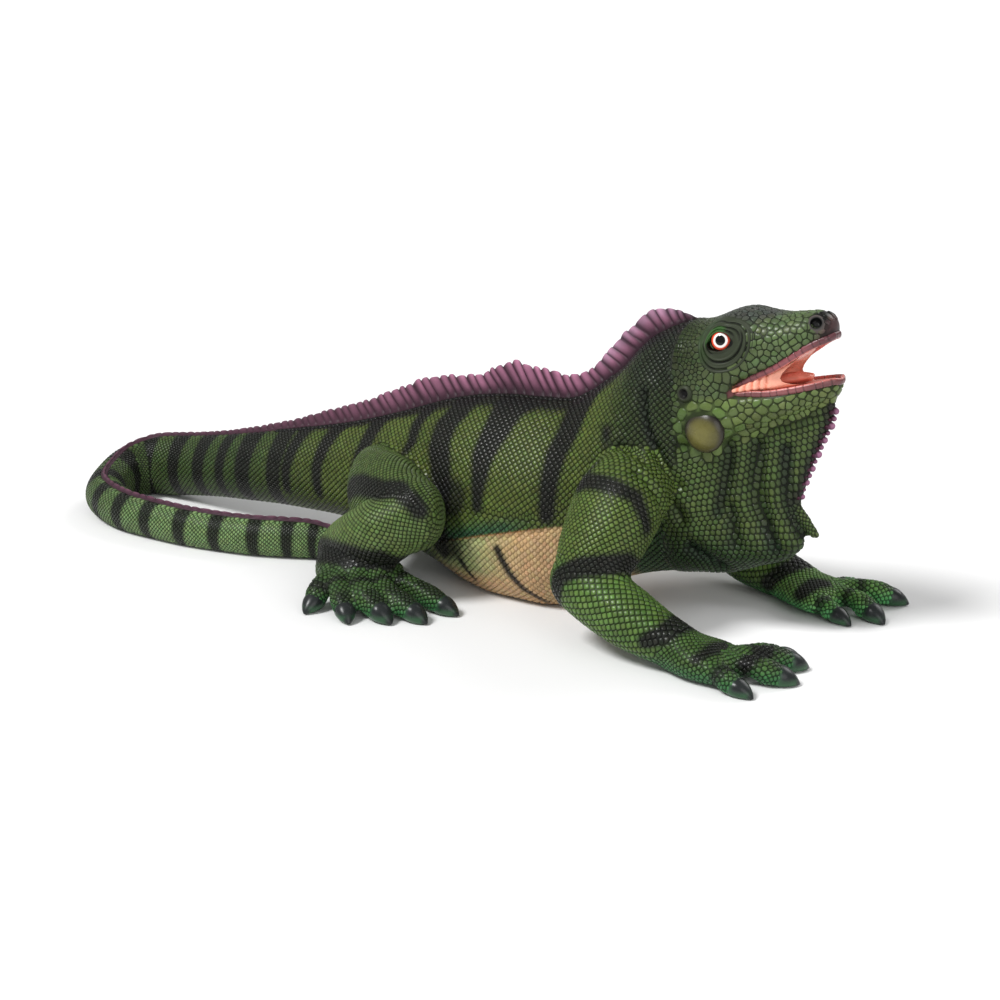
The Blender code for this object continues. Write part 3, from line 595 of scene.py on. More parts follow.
# Folds: line, width and depth in mm.  Right and left are alike.
FOLDS = [(mm(*line), *mm(width, depth)) for line, width, depth in (
    (((93, 41, 206), (98, 46, 183), (106, 45, 166), (116, 50, 150), (127, 40, 131)), 4.2, 4),
    (((78, 53, 159), (104, 60, 152), (117, 60, 140), (123, 47, 120), (130, 36, 102)), 4.2, 4.2),
    (((106, 75, 148), (123, 74, 133), (129, 66, 108)), 4, 3),
    (((168, 30, 166), (167, 29, 151), (164, 29, 132), (160, 29, 110)), 5.8, 3.4),
    (((190, 21, 170), (190, 20, 155), (189, 21, 135), (195, 16, 109), (204, 9, 84)), 6.8, 5),
    (((211, 11, 170), (212, 10, 135), (217, 7, 109), (225, 4, 96)), 5.6, 3.2),
    (((169, 26, 114), (172, 25, 99), (175, 25, 84)), 5.6, 4),
    (((137, 33, 77), (149, 26, 69), (159, 20, 61)), 6, 4.6),
    (((-100, 68, 50), (-72, 72, 54), (-43, 75, 61), (-8, 72, 71), (30, 68, 83)), 2.8, 1.6),
)]
# Swellings: centre, radius of the soft bump and its height, below zero for a hollow
SWELLINGS = mm(
    (157.6, 36, 257, 7.5, -4.2), (234.5, 15, 279.5, 4.6, -7), (131, 41, 210.5, 5, -5),
    (148, 44, 196, 14, 2), (82, 47, 192, 3.2, 1.8), (71, 50, 181, 3.2, 1.8),
    (91, 51, 175, 3.2, 1.8), (80, 52, 205, 3, 1.4))


def fold_push(points):
    """How far folds and swellings move the skin along its normal at points.

    A fold is a bell curve of the distance to its line, with a lower bell beside it; a
    swelling is a bell curve of the distance to its centre.
    """
    over = folded(points)
    push = np.zeros(len(points))
    for line, width, depth in FOLDS:
        off = -from_line(over, line, (0, 0))
        push -= depth * bell(off, width)
        push += 0.25 * depth * bell(off - 2.2 * width, width)
    for *centre, radius, height in SWELLINGS:
        push += height * bell(np.linalg.norm(over - centre, axis=1), radius)
    return push


def make_skin():
    """One closed skin: the flesh run together at an even mesh, relaxed, then folded."""
    lump = add_object("lump", *flesh())
    remesh = lump.modifiers.new("even", "REMESH")
    remesh.mode = "VOXEL"
    remesh.voxel_size = VOXEL
    mesh = bpy.data.meshes.new_from_object(evaluated(lump))
    bpy.data.objects.remove(lump)
    edges = np.empty(2 * len(mesh.edges), np.int32)
    mesh.edges.foreach_get("vertices", edges)
    points = relax(coordinates(mesh), edges.reshape(-1, 2), 4)
    set_points(mesh, points)
    mesh.update()
    points += coordinates(mesh, "vertex_normals", "vector") * fold_push(points)[:, None]
    points[:, 2] = np.maximum(points[:, 2], 0.0008)
    set_points(mesh, points)
    mesh.polygons.foreach_set("use_smooth", np.ones(len(mesh.polygons), bool))
    mesh.update()
    mesh.name = "skin"
    return linked("skin", mesh)


# ---- where each scale grows ----

EYE_MIDDLE = np.array((0.1576, 0.036, 0.257))
SHIELD_MIDDLE = np.array((0.15, 0.045, 0.1815))
EAR_MIDDLE = np.array((0.131, 0.041, 0.2105))
NOSTRIL_MIDDLE = np.array((0.2345, 0.0165, 0.2795))


def lip_path(table, square, offset, start, end, count=80):
    """The line of a lip from the right corner of the mouth round the snout to the left one.

    It keeps one distance from the lip line, and the half width of the slice at its height.
    """
    at = start + np.sin(np.linspace(0, PI / 2, count)) * (end - start)
    low, high, half, over, under = along_table(table, at).T
    edge = low if offset > 0 else high
    z = edge + offset * np.clip((high - low) / 0.02, 0.25, 1)
    up = np.clip((z - (low + high) / 2) / ((high - low) / 2), -1, 1)
    right = np.stack([at, -half_width(up, half, over, under, square), z], 1)
    return np.concatenate([right, right[::-1] * (1, -1, 1)])


UPPER_LIP = lip_path(HEAD, LIP_SQUARE, 0.0026, 0.1672, 0.24595)
LOWER_LIP = lip_path(JAW, LIP_SQUARE, -0.0026, 0.1672, 0.25215)


def net(shape, stations, wide, start, level=False):
    """Places of scales in a diamond net: every second ring is set half a scale round.

    On each ring the seeds lie at even distances round from the line at turn 0, so only the
    line opposite it shows where the two sides meet.  With level, each ring is set back by as
    much as its top drops, so that the rows stay level where the back slopes.
    """
    turns = np.linspace(0, PI, 150)
    count = len(stations)
    wide = np.broadcast_to(wide, count)[:, None]
    places, arounds = [], []
    for side in (-1, 1):
        grid = grid_of(shape, stations, turns * side)
        arc = np.cumsum(np.linalg.norm(np.diff(grid, axis=1), axis=2), axis=1)
        arc = np.concatenate([np.zeros((count, 1)), arc], axis=1)
        most = int(arc[:, -1].max() / wide.min()) + 1
        wanted = (np.arange(most)[None] + (np.arange(count) % 2)[:, None] / 2) * wide + start
        if level:
            drop = grid[:, :1, 2].max() - grid[:, :1, 2]
            wanted = start + np.mod(wanted - start - drop, wide * most)
        keep = wanted <= arc[:, -1:]
        if side > 0 and start == 0:
            keep &= wanted > 0
        shift = 10.0 * np.arange(count)[:, None]
        turn = np.interp((wanted + shift)[keep], (arc + shift).ravel(), np.tile(turns, count))
        places.append(np.broadcast_to(stations[:, None], wanted.shape)[keep])
        arounds.append(turn * side)
    return np.concatenate(places), np.concatenate(arounds)


def seeds_of(kind, shape, stations, size, wide, start, scale=1.0, side=0, level=False):
    """A table of seeds: point, way the scale lies, size, kind, distance along and turn.

    A scale lies from the place scale x 2 mm before it to that after it; the dewlap's stations
    are slice numbers, so its scale is larger, and below zero to turn the way round.
    """
    at, turn = net(shape, stations, wide, start, level)
    point = shape(at, turn)
    lie = unit(shape(at + 0.002 * scale, turn) - shape(at - 0.002 * scale, turn))
    size = np.interp(at, stations, np.broadcast_to(size, len(stations)))
    return {"point": point, "lie": lie, "size": size, "kind": np.full(len(at), kind),
            "at": at, "turn": turn, "side": np.full(len(at), side), "real": np.ones(len(at), bool)}


def spaced(start, end, spacing):
    """Distances whose gaps follow a spacing that changes along the way."""
    fine = np.linspace(start, end, 4000)
    number = np.concatenate([[0], np.cumsum(np.diff(fine) / spacing(fine[1:]))])
    return np.interp(np.arange(int(number[-1]) + 1), number, fine)


def body_size(at):
    """Size of a body scale: about 6 mm on the flank, less towards the tail's tip."""
    return np.interp(at, (0.0, 0.06, 0.12, 0.3, 0.55, 0.8, 1.12),
                     (0.0056, 0.0058, 0.0062, 0.006, 0.0052, 0.0046, 0.0036))


def loose(points, lie, size, kind, real=True):
    """A table of seeds at given points."""
    count = len(points)
    points = np.array(points, float)
    return {"point": points, "lie": np.broadcast_to(np.array(lie, float), (count, 3)),
            "size": np.broadcast_to(size, count) * 1.0, "kind": np.full(count, kind),
            "at": points[:, 0] * 1.0, "turn": points[:, 2] * 1.0,
            "side": np.sign(points[:, 1]).astype(int), "real": np.full(count, real)}


def ring_round(middle, radius, count, shift=0.0):
    """Points on an upright ring round a feature of the head, on both sides of it."""
    angle = np.linspace(0, 2 * PI, count, endpoint=False) + shift
    ring = np.stack([middle[0] + radius * np.cos(angle), np.full(count, middle[1]),
                     middle[2] + radius * np.sin(angle)], 1)
    return np.concatenate([ring, ring * (1, -1, 1)])


def lid_reach(front):
    """How far the lids' folds spread, by how much the way from the eye is forward and down."""
    return 0.0185 + 0.0085 * rise(front, -0.5, 0.6)


def eye_reach(points):
    """Distance from the eye, as a share of how far the lids' folds spread that way."""
    away = folded(points) - EYE_MIDDLE
    off = np.linalg.norm(away, axis=1)
    return off / lid_reach(away @ np.array((0.8, 0, -0.6)) / np.maximum(off, 1e-9))


def head_size(points):
    """Size of a head plate: large on snout and jaw, small behind the eye and on the crown."""
    over = folded(points)
    size = np.full(len(points), 0.0082)
    behind = np.linalg.norm(over - (0.132, 0.036, 0.262), axis=1)
    size = 0.0043 + (size - 0.0043) * rise(behind, 0.022, 0.05)
    jaw = rise(0.206 + 0.4 * (over[:, 0] - 0.18) - over[:, 2], -0.006, 0.006)
    jaw *= rise(over[:, 0], 0.155, 0.17)
    size = size + (0.0092 - size) * jaw
    crown = rise(over[:, 2], 0.272, 0.28) * rise(0.022 - over[:, 1], 0, 0.01)
    size = size + (0.006 - size) * crown * rise(0.225 - over[:, 0], 0, 0.02)
    ear = np.linalg.norm(over - EAR_MIDDLE, axis=1)
    return size + (0.005 - size) * rise(0.022 - ear, 0, 0.01)


# Rows of plates along the lips: table, distance from the lip line, plate length, start, end
LIP_ROWS = ((HEAD, 0.0079, 0.0086, 0.166, 0.244), (HEAD, 0.0143, 0.0092, 0.172, 0.242),
            (HEAD, 0.0212, 0.0094, 0.186, 0.238), (JAW, -0.0078, 0.0098, 0.166, 0.248),
            (JAW, -0.0152, 0.0112, 0.168, 0.24))


def head_seeds(skin_points, normals):
    """Irregular plates: seeds spread over the head by weight, each moved to its cell's middle."""
    x, _, z = folded(skin_points).T
    floor = np.interp(x, (0.118, 0.15, 0.175, 0.2, 0.235, 0.252),
                      (0.153, 0.153, 0.168, 0.186, 0.206, 0.214))
    back = 0.119 + 0.01 * rise(0.2 - z, 0, 0.04)
    inside = (z > floor) & (x > back)
    palate, lip = along_table(HEAD, x)[:, 0], along_table(JAW, x)[:, 1]
    # neither inside the mouth nor on the flesh that faces into it
    inside &= ~((z > lip - 0.002) & (z < palate + 0.002) & (x > 0.166))
    inside &= ~((np.abs(normals[:, 2]) > 0.75) & (z < palate + 0.004) & (z > lip - 0.006)
                & (x > 0.17))
    points = skin_points[inside]
    lips = np.concatenate([UPPER_LIP, LOWER_LIP])
    gap = nearest(points, lips, 1)[1][:, 0]
    # clear of the lips, the lids' folds, the very tip of the snout and the head's own pieces
    over = folded(points)
    keep = (gap > 0.0042) & (eye_reach(points) > 1.04)
    keep &= (points[:, 0] < 0.2395) | (points[:, 2] < 0.24)
    for middle, radius in ((SHIELD_MIDDLE, 0.0282), (EAR_MIDDLE, 0.0078),
                           (NOSTRIL_MIDDLE, 0.0068)):
        keep &= np.linalg.norm((over - middle) * (1, 0.3, 1), axis=1) > radius
    points = points[keep]
    # as many plates as the area holds, fewer by those of the rows along the lips
    size = head_size(points)
    weight = 1 / size**2
    count = int((weight * VOXEL**2 * 1.1 / 0.87).sum())
    rows = []
    for table, off, gap, start, end in LIP_ROWS:
        path = lip_path(table, LIP_SQUARE, off, start, end)
        middle = length_run(path)[-1] / 2
        steps = np.arange(gap / 2, middle, gap)
        rows.append(resample(path, np.concatenate([middle - steps, middle + steps])))
    rows = np.concatenate(rows)
    rows = rows[(rows[:, 0] < 0.2405) | (rows[:, 2] < 0.24)]
    # the ring of plates round the cheek shield, and unseen seeds that keep room for the pieces
    plates = ring_round(SHIELD_MIDDLE, 0.0236, 11, shift=0.3)
    plates = np.concatenate([plates, rows])
    count -= len(rows)
    hidden = np.concatenate([
        ring_round(SHIELD_MIDDLE, 0.014, 11, shift=0.3), ring_round(EAR_MIDDLE, 0.0048, 8),
        ring_round(NOSTRIL_MIDDLE, 0.0042, 8), lips[::6]])
    held = np.concatenate([plates, hidden])
    free = points[RANDOM.choice(len(points), count, replace=False, p=weight / weight.sum())]
    # 24 times, each free seed moves to the middle of the cell of points nearest to it
    for _ in range(24):
        every = np.concatenate([held, free])
        owner = nearest(points, every, 1)[0][:, 0] - len(held)
        mine = owner >= 0
        share = np.bincount(owner[mine], weight[mine], len(free))
        total = np.stack([np.bincount(owner[mine], weight[mine] * points[mine, k], len(free))
                          for k in range(3)], 1)
        filled = share > 0
        free[filled] = total[filled] / share[filled][:, None]
    owner = nearest(points, np.concatenate([held, free]), 1)[0][:, 0] - len(held)
    free = free[np.unique(owner[owner >= 0])]
    return [loose(plates, (-1, 0, 0), 0.01, HEAD_KIND),
            loose(free, (-1, 0, 0), head_size(free), HEAD_KIND),
            loose(hidden, (-1, 0, 0), 0.006, HEAD_KIND, real=False)]


def all_seeds(skin_points, normals):
    """Seeds of every region, as one table."""
    tables = head_seeds(skin_points, normals)
    # rings half a scale apart along neck, trunk and tail
    stations = spaced(0.0, ALONG[-1] - 0.001, lambda at: body_size(at) / 2)
    tables.append(seeds_of(BODY_KIND, body_shape, stations, body_size(stations),
                           body_size(stations) * 0.97, 0.0062, level=True))
    # the throat fan, a row of beads along the crest's foot and the fan's front lobe
    stations = np.arange(0.2, len(DEWLAP) - 1, 0.31)
    tables.append(seeds_of(DEWLAP_KIND, dewlap_shape, stations[::-1], 0.0052, 0.0048, 0.002,
                           -60.0))
    tables.append(seeds_of(BEAD_KIND, body_shape, np.arange(0.085, 0.47, 0.0026), 0.005, 1.0,
                           0.0056))
    lobe, length, _table = tube_shape(DEWLAP_LOBE, ACROSS, UPRIGHT, 1)
    tables.append(seeds_of(DEWLAP_KIND, lobe, np.arange(0.002, length + 0.0045, 0.0022), 0.0044,
                           0.0044, 0.0))
    # limbs: rings half a pitch apart, and over their rounded ends by angle
    for kind, side, shape, length, table, pitch in LIMBS:
        step, wide = pitch / 2, pitch
        if kind in (DIGIT_KIND, TOE_KIND):
            stations, wide = np.arange(-0.003, length + 0.003, 0.0029), 0.005
        else:
            if kind == FOREARM_KIND:
                step, wide = 0.0036, 0.0066
            first, last = (np.arange(0.5, 40) * step / table[k, 4] for k in (0, -1))
            stations = np.concatenate([
                -table[0, 4] * np.sin(first[first < 1.52])[::-1], np.arange(step, length, step),
                length + table[-1, 4] * np.sin(last[last < 1.52])])
        tables.append(seeds_of(kind, shape, stations, pitch, wide, 0.0, side=side))
    return {key: np.concatenate([table[key] for table in tables]) for key in tables[0]}


# Rank of each kind where two regions meet: the scales of the lower number stay
PRIORITY = np.array([9, 0, 8, 6, 5, 4, 7, 6, 4, 3, 3, 1])


def settle(skin, seeds):
    """Put the seeds on the skin, and drop those off it or crowding a more important region's."""
    # each seed's place and normal, moved as the folds move the skin
    base = onto(skin, seeds["point"])
    up = unit(onto(skin, seeds["point"], 0.001) - base)
    push = fold_push(seeds["point"])
    sunk = seeds["point"] + up * push[:, None]
    base = onto(skin, sunk)
    up = unit(onto(skin, sunk, 0.001) - base)
    # dropped: far off the skin, under the belly, in the lids' folds or on the cheek shield
    off = np.linalg.norm(base - sunk, axis=1)
    keep = off < np.where(seeds["kind"] == HEAD_KIND, 0.018, 0.0028 + 0.5 * np.abs(push))
    keep &= (base[:, 2] > 0.0035) | (up[:, 2] > -0.2)
    keep &= (eye_reach(base) > 1.03) | ~seeds["real"]
    over = folded(base)
    clear = np.where(seeds["kind"] == HEAD_KIND, 0.019, 0.029)
    keep &= (np.linalg.norm(over - SHIELD_MIDDLE, axis=1) > clear) | ~seeds["real"]
    seeds = {key: value[keep] for key, value in seeds.items()}
    seeds["base"], seeds["up"] = base[keep], up[keep]
    # of two that crowd each other the lower rank stays; then one of each close pair of equals
    for equals in (False, True):
        near, far = nearest(seeds["base"], seeds["base"], 9)
        rank = PRIORITY[seeds["kind"]]
        size = seeds["size"]
        close = far < 0.66 * (size[:, None] + size[near]) / 2
        same = rank[near] == rank[:, None]
        worse = close & (rank[near] < rank[:, None])
        twin = close & same & (far < 0.42 * size[:, None]) & (near < np.arange(len(near))[:, None])
        twin &= near != np.arange(len(near))[:, None]
        drop = (worse | (twin & equals)).any(axis=1)
        seeds = {key: value[~drop] for key, value in seeds.items()}
    return seeds


# ---- the paint ----

BLACK = np.array((0.0085, 0.0085, 0.008))
# Strokes of black: the kinds of surface they cross, half widths at start and end, softness of
# the edge, and the line as x, out, z, all in mm.  RIGHT_STROKES are on the right side only.
STROKES = (
    ((BODY_KIND,), (18, 8), 4, ((26, 3, 192), (18, 23, 178), (17, 38, 160), (12, 49, 143),
     (12, 60, 122), (14, 68, 92))),
    ((BODY_KIND,), (22, 6.2), 4, ((-45, 3, 176), (-57, 20, 167), (-59, 38, 151), (-63, 53, 130),
     (-60, 63, 113), (-57, 71, 88))),
    ((BODY_KIND,), (15, 11), 4, ((-105, 3, 166), (-111, 22, 157), (-118, 34, 144), (-116, 47, 129),
     (-107, 57, 115), (-100, 64, 98), (-100, 66, 40))),
    ((BODY_KIND,), (10, 5.5), 3.5, ((-148, 3, 155), (-152, 16, 149), (-156, 27, 138),
     (-152, 40, 125), (-160, 45, 100))),
    ((BODY_KIND,), (13, 6), 3.5, ((-205, 2, 137), (-211, 11, 130), (-214, 28, 115), (-218, 40, 90),
     (-216, 44, 68))),
    ((BODY_KIND,), (12, 6), 3.5, ((-258, 2, 120), (-264, 13, 113), (-268, 25, 101), (-271, 35, 83),
     (-268, 38, 54))),
    ((BODY_KIND,), (10.5, 5.5), 3.5, ((-302, 2, 110), (-308, 20, 98), (-312, 33, 72),
     (-311, 34, 50))),
    ((BODY_KIND, ARM_KIND), (5, 3), 5, ((62, 48, 170), (65, 73, 146), (63, 93, 129))),
    ((BODY_KIND,), (4, 2.4), 2.6, ((-33, 74, 54), (-23, 71, 34), (-12, 64, 19), (-4, 60, 13),
     (4, 50, 6))),
    ((BODY_KIND,), (3.4, 2), 2.2, ((-77, 68, 34), (-66, 62, 16))),
    ((ARM_KIND, BODY_KIND), (10, 5), 4, ((52, 78, 128), (66, 88, 136), (85, 93, 139),
     (100, 93, 137), (115, 90, 132), (124, 91, 119), (127, 90, 106))),
    ((ARM_KIND, FOREARM_KIND), (9, 9.5), 3.5, ((60, 128, 30), (64, 134, 50), (70, 131, 66),
     (86, 130, 76), (104, 124, 80), (118, 108, 81), (116, 88, 70))),
    ((FOREARM_KIND, HAND_KIND), (13, 7), 3.5, ((174, 104, 43), (173, 115, 40), (168, 130, 35),
     (156, 136, 29))),
    ((FOREARM_KIND, HAND_KIND), (9.5, 5), 3.5, ((214, 94, 34), (208, 115, 27), (201, 133, 22))),
    ((FOREARM_KIND, HAND_KIND, ARM_KIND), (8.5, 8), 3.5, ((178, 98, 34), (172, 86, 34),
     (166, 79, 29), (155, 76, 17))),
    ((FOREARM_KIND, HAND_KIND), (9, 8), 3.5, ((212, 92, 30), (200, 79, 27), (195, 62, 20))),
    ((LEG_KIND, SHANK_KIND), (12, 8.5), 4, ((-196, 60, 64), (-178, 92, 90), (-160, 103, 98),
     (-127, 118, 102), (-108, 117, 106), (-90, 120, 98), (-85, 119, 92))),
    ((SHANK_KIND, FOOT_KIND), (14.5, 11.5), 4, ((-200, 110, 30), (-180, 132, 39), (-146, 141, 44),
     (-116, 135, 47), (-106, 116, 40))),
)
RIGHT_STROKES = (
    ((HAND_KIND, DIGIT_KIND), (10, 6), 3.5, ((228, 70, 26), (237, 85, 22), (236, 105, 21),
     (230, 126, 18))),
)
# Bands round the tail: distance along, half width
BANDS = mm(
    (453, 8.5), (497, 9), (531, 6), (566, 8), (608, 8), (652, 8), (693, 7.5), (735, 6.5), (772, 6),
    (809, 6), (846, 5.8), (887, 5.8), (925, 5.5), (964, 5), (996, 4.6), (1022, 4.4), (1052, 5),
    (1085, 8))
# Base colour of each kind, in the order of the kinds
BASES = np.array((
    (0.06, 0.084, 0.017), (0.054, 0.078, 0.03), (0.05, 0.078, 0.021), (0.068, 0.104, 0.022),
    (0.068, 0.124, 0.028), (0.044, 0.086, 0.022), (0.062, 0.098, 0.025), (0.078, 0.12, 0.034),
    (0.04, 0.074, 0.022), (0.04, 0.086, 0.022), (0.038, 0.076, 0.022), (0.011, 0.011, 0.01)))
GREY, PURPLE = np.array((0.046, 0.05, 0.046)), np.array((0.07, 0.036, 0.04))
TAN, SAGE = np.array((0.45, 0.3, 0.155)), np.array((0.25, 0.3, 0.13))
RUST, TEAL = np.array((0.3, 0.13, 0.05)), np.array((0.012, 0.062, 0.032))


def lay(colour, *layers):
    """Colours laid over one another in turn: colour + (over - colour) x share for each."""
    for over, share in layers:
        share = np.asarray(share)[..., None]
        colour = colour + (np.array(over) - colour) * share
    return colour


def paint(points, kind, at, turn):
    """The colour at points: a base by kind, shaded, then the belly, stripes and bands."""
    over = folded(points)
    x, y, z = over.T
    body, head, fan = kind == BODY_KIND, kind == HEAD_KIND, kind == DEWLAP_KIND
    wave = 0.5 + 0.5 * np.sin(x * 61 + 2 * np.sin(z * 47)) * np.sin(z * 53 + y * 38)
    colour = BASES[kind] * (0.9 + 0.22 * wave)[:, None]
    # flesh that faces down and lies low is a bluer green, and so are the limbs near the floor
    limb = np.isin(kind, (FOREARM_KIND, HAND_KIND, DIGIT_KIND, TOE_KIND, FOOT_KIND, ARM_KIND))
    colour = lay(
        colour,
        ((0.024, 0.076, 0.028), 0.55 * rise(0.09 - z, 0, 0.05) * body * (x > -0.13)),
        ((0.026, 0.13, 0.046), 0.7 * limb * rise(0.02 - z, 0, 0.014)))
    # painted light: the left hand and its fingers 2.5 times brighter than the right, as that hand is
    # lit brighter
    left_hand_highlight = np.isin(kind, (HAND_KIND, DIGIT_KIND)) * (points[:, 1] > 0)
    colour = colour * (1 + 1.5 * left_hand_highlight)[:, None]
    # neck, darker and olive, and the tail, greener towards its tip
    neck = body * rise(x, 0.035, 0.085)
    tail = body * rise(at, 0.36, 0.52)
    far_green = np.stack([np.interp(at, (0.5, 0.72, 0.86, 1.1), v) for v in (
        (0.034, 0.046, 0.128, 0.138), (0.058, 0.074, 0.204, 0.214), (0.017, 0.023, 0.078, 0.082))], 1)
    colour = lay(colour, ((0.024, 0.037, 0.012), neck),
                 ((0.014, 0.018, 0.012), 0.75 * neck * rise(z, 0.185, 0.225)), (far_green, tail))
    # belly, with a thin rusty line along its fold and teal above it
    fold = np.interp(x, (-0.18, -0.097, -0.054, -0.011, 0.023, 0.06, 0.11),
                     (0.02, 0.048, 0.062, 0.074, 0.083, 0.086, 0.06))
    trunk = body * rise(x, -0.13, -0.1)
    under = trunk * rise(fold - z, -0.0012, 0.0012)
    belly = lay(SAGE, (TAN, np.clip(rise(x, -0.08, 0.0) + rise(0.032 - z, 0, 0.02), 0, 1)))
    teal = trunk * rise(z - fold, 0, 0.003) * rise(0.018 - (z - fold), 0, 0.016)
    line = trunk * rise(0.0006 - np.abs(z - fold), -0.0005, 0.0005) * rise(0.02 - x, 0, 0.02)
    # chest, then black along the spine, brown on the tail
    spine = body * rise((0.46 - 0.22 * tail) - np.abs(turn), -0.1, 0.1)
    colour = lay(
        colour, (TEAL, 0.75 * teal * rise(-x, -0.01, 0.03)), (belly, under),
        ((0.026, 0.054, 0.02), body * rise(x, 0.06, 0.085) * rise(0.1 - z, 0, 0.02)),
        (RUST, 0.85 * line), (lay(BLACK, ((0.03, 0.018, 0.022), tail)), 0.95 * spine))
    for strokes, side in ((STROKES, np.inf), (RIGHT_STROKES, 0)):
        for kinds, halves, soft, stroke in strokes:
            some = np.isin(kind, kinds) & (points[:, 1] < side)
            inside = from_line(over[some], mm(*stroke), mm(*halves))
            colour[some] = lay(colour[some], (BLACK, 0.96 * rise(inside, -soft / 1000, soft / 1000)))
    # bands round the tail, wide on top
    band = np.zeros(len(points))
    for middle, half in BANDS:
        wide = half * (1.55 - 0.75 * np.abs(turn) / PI)
        band = np.maximum(band, rise(wide - np.abs(at - middle), -0.0024, 0.0024))
    colour = lay(colour, (BLACK, 0.94 * band * body))
    # painted shade: soft black where the limbs meet the body
    for *centre, radius in mm((-88, 68, 90, 20), (-84, 66, 45, 14), (74, 55, 60, 14),
                              (128, 66, 100, 10)):
        off = np.linalg.norm(over - centre, axis=1)
        colour = lay(colour, (BLACK, 0.85 * body * rise(radius - off, -0.004, 0.008)))
    # throat fan: painted shade in its folds, dark along its front edge and darker low down
    fold_shade = np.zeros(len(points))
    for fold_line, width, _depth in FOLDS[3:8]:
        inside = from_line(over, fold_line, (width, width))
        fold_shade = np.maximum(fold_shade, rise(inside, -0.004, 0.003))
    edge = fan * rise(0.85 - np.abs(turn), 0, 0.45) * rise(z, 0.112, 0.13)
    colour = lay(colour, ((0.008, 0.013, 0.008), 0.86 * fan * fold_shade),
                 ((0.01, 0.009, 0.009), 0.9 * edge),
                 ((0.007, 0.024, 0.008), 0.75 * fan * rise(0.1 - z, 0, 0.03)))
    # painted shade in the folds of the neck
    for fold_line, width, _depth in FOLDS[:3]:
        inside = from_line(over, fold_line, (width, width))
        colour = lay(colour, ((0.008, 0.012, 0.008),
                              0.8 * rise(inside, -0.004, 0.002) * (body | head)))
    # head: snout, jaw, its back end, the nape, then darker temples
    jaw_line = np.interp(x, (0.12, 0.166, 0.2, 0.252), (0.205, 0.213, 0.219, 0.231))
    jaw = head * rise(jaw_line - z, 0.0, 0.004)
    nape = (head | body) * rise(0.128 - x, 0, 0.022) * rise(x, 0.085, 0.1)
    colour = lay(
        colour, ((0.078, 0.112, 0.046), 0.9 * head * rise(x, 0.175, 0.2)),
        ((0.094, 0.13, 0.04), jaw * rise(x, 0.14, 0.165)),
        ((0.07, 0.1, 0.03), jaw * rise(0.155 - x, 0, 0.02) * 0.7),
        ((0.036, 0.054, 0.018), 0.85 * head * rise(0.142 - x, 0, 0.02)),
        ((0.012, 0.015, 0.01), 0.6 * nape * rise(z, 0.215, 0.245)))
    temple = head * rise(0.152 - x, 0, 0.012) * rise(z, 0.215, 0.232)
    colour = colour * (1 - 0.38 * temple)[:, None]
    # the ring of plates round the cheek shield, the crown, the nose's tip, and black in the
    # nostril as painted shade
    from_shield = np.linalg.norm(over - SHIELD_MIDDLE, axis=1)
    ring = rise(0.0285 - from_shield, 0, 0.0025) * np.isin(kind, (HEAD_KIND, BODY_KIND))
    crown = head * rise(z - 0.262 - 0.02 * rise(x, 0.17, 0.24), 0.004, 0.014)
    hole = rise(0.0062 - nostril_gap(x, z), 0, 0.001)
    # fingers and toes: dark joints, and dark towards the claw
    digit = (kind == DIGIT_KIND) | (kind == TOE_KIND)
    joint = digit * rise(0.0032 - np.abs(at - 0.0205), -0.0015, 0.0015)
    top = digit * rise(at, 0.03, 0.04) * rise(0.9 - np.abs(turn), 0, 0.4)
    return lay(
        colour, ((0.08, 0.122, 0.034), 0.75 * ring), (GREY, 0.85 * crown),
        (PURPLE, 0.95 * head * rise(x, 0.23, 0.243) * (z > 0.24)),
        (BLACK, (head | (kind == BEAD_KIND)) * hole), (BLACK, 0.85 * joint), (BLACK, 0.7 * top))


def nostril_gap(x, z):
    """Distance from the middle of the nostril in the side view."""
    return np.hypot(x - NOSTRIL_MIDDLE[0], z - NOSTRIL_MIDDLE[2])


# ---- the coat ----

# Each kind of scale: points round it, share of the size it may reach, height against size,
# sharpness of its corners, rings as share of the reach and height, and its shades
# the shades run from painted shade in the groove to a painted highlight on the crown
SCALES = (8, 1.0, 0.098, 12, ((1.0, -0.35), (0.88, 0.74), (0.56, 0.97)),
          (0.26, 0.8, 1.12, 1.24))
PLATES = (13, 0.98, 0.06, 20, ((1.0, -0.35), (0.92, 0.78), (0.7, 1.0)),
          (0.3, 0.86, 1.06, 1.12))


def chart(seeds):
    """Places on an unwrap of the skin: the body below, the other regions in boxes above."""
    at, turn, kind, side = (seeds[key] for key in ("at", "turn", "kind", "side"))
    # the body is 1.12 m long; each other kind and side has one of two rows of eight boxes
    u = 0.02 + 0.96 * at / 1.12
    v = 0.02 + 0.46 * (turn / PI + 1) / 2
    box = np.where(kind == HEAD_KIND, np.where(side < 0, 0, 1), 2 + kind + 6 * (side > 0)) % 16
    span = np.where(kind == HEAD_KIND, 0.14, np.where(kind == DEWLAP_KIND, 11.0, 0.12))
    start = np.where(kind == HEAD_KIND, 0.115, np.where(kind == DEWLAP_KIND, 0.0, -0.03))
    across = np.where(kind == HEAD_KIND, (turn - 0.15) / 0.14, (turn / PI + 1) / 2)
    other_u = (box % 8 + 0.05 + 0.9 * np.clip((at - start) / span, 0, 1)) / 8
    other_v = 0.5 + (box // 8 + 0.05 + 0.9 * np.clip(across, 0, 1)) / 4
    body = kind == BODY_KIND
    return np.stack([np.where(body, u, other_u), np.where(body, v, other_v)], 1)


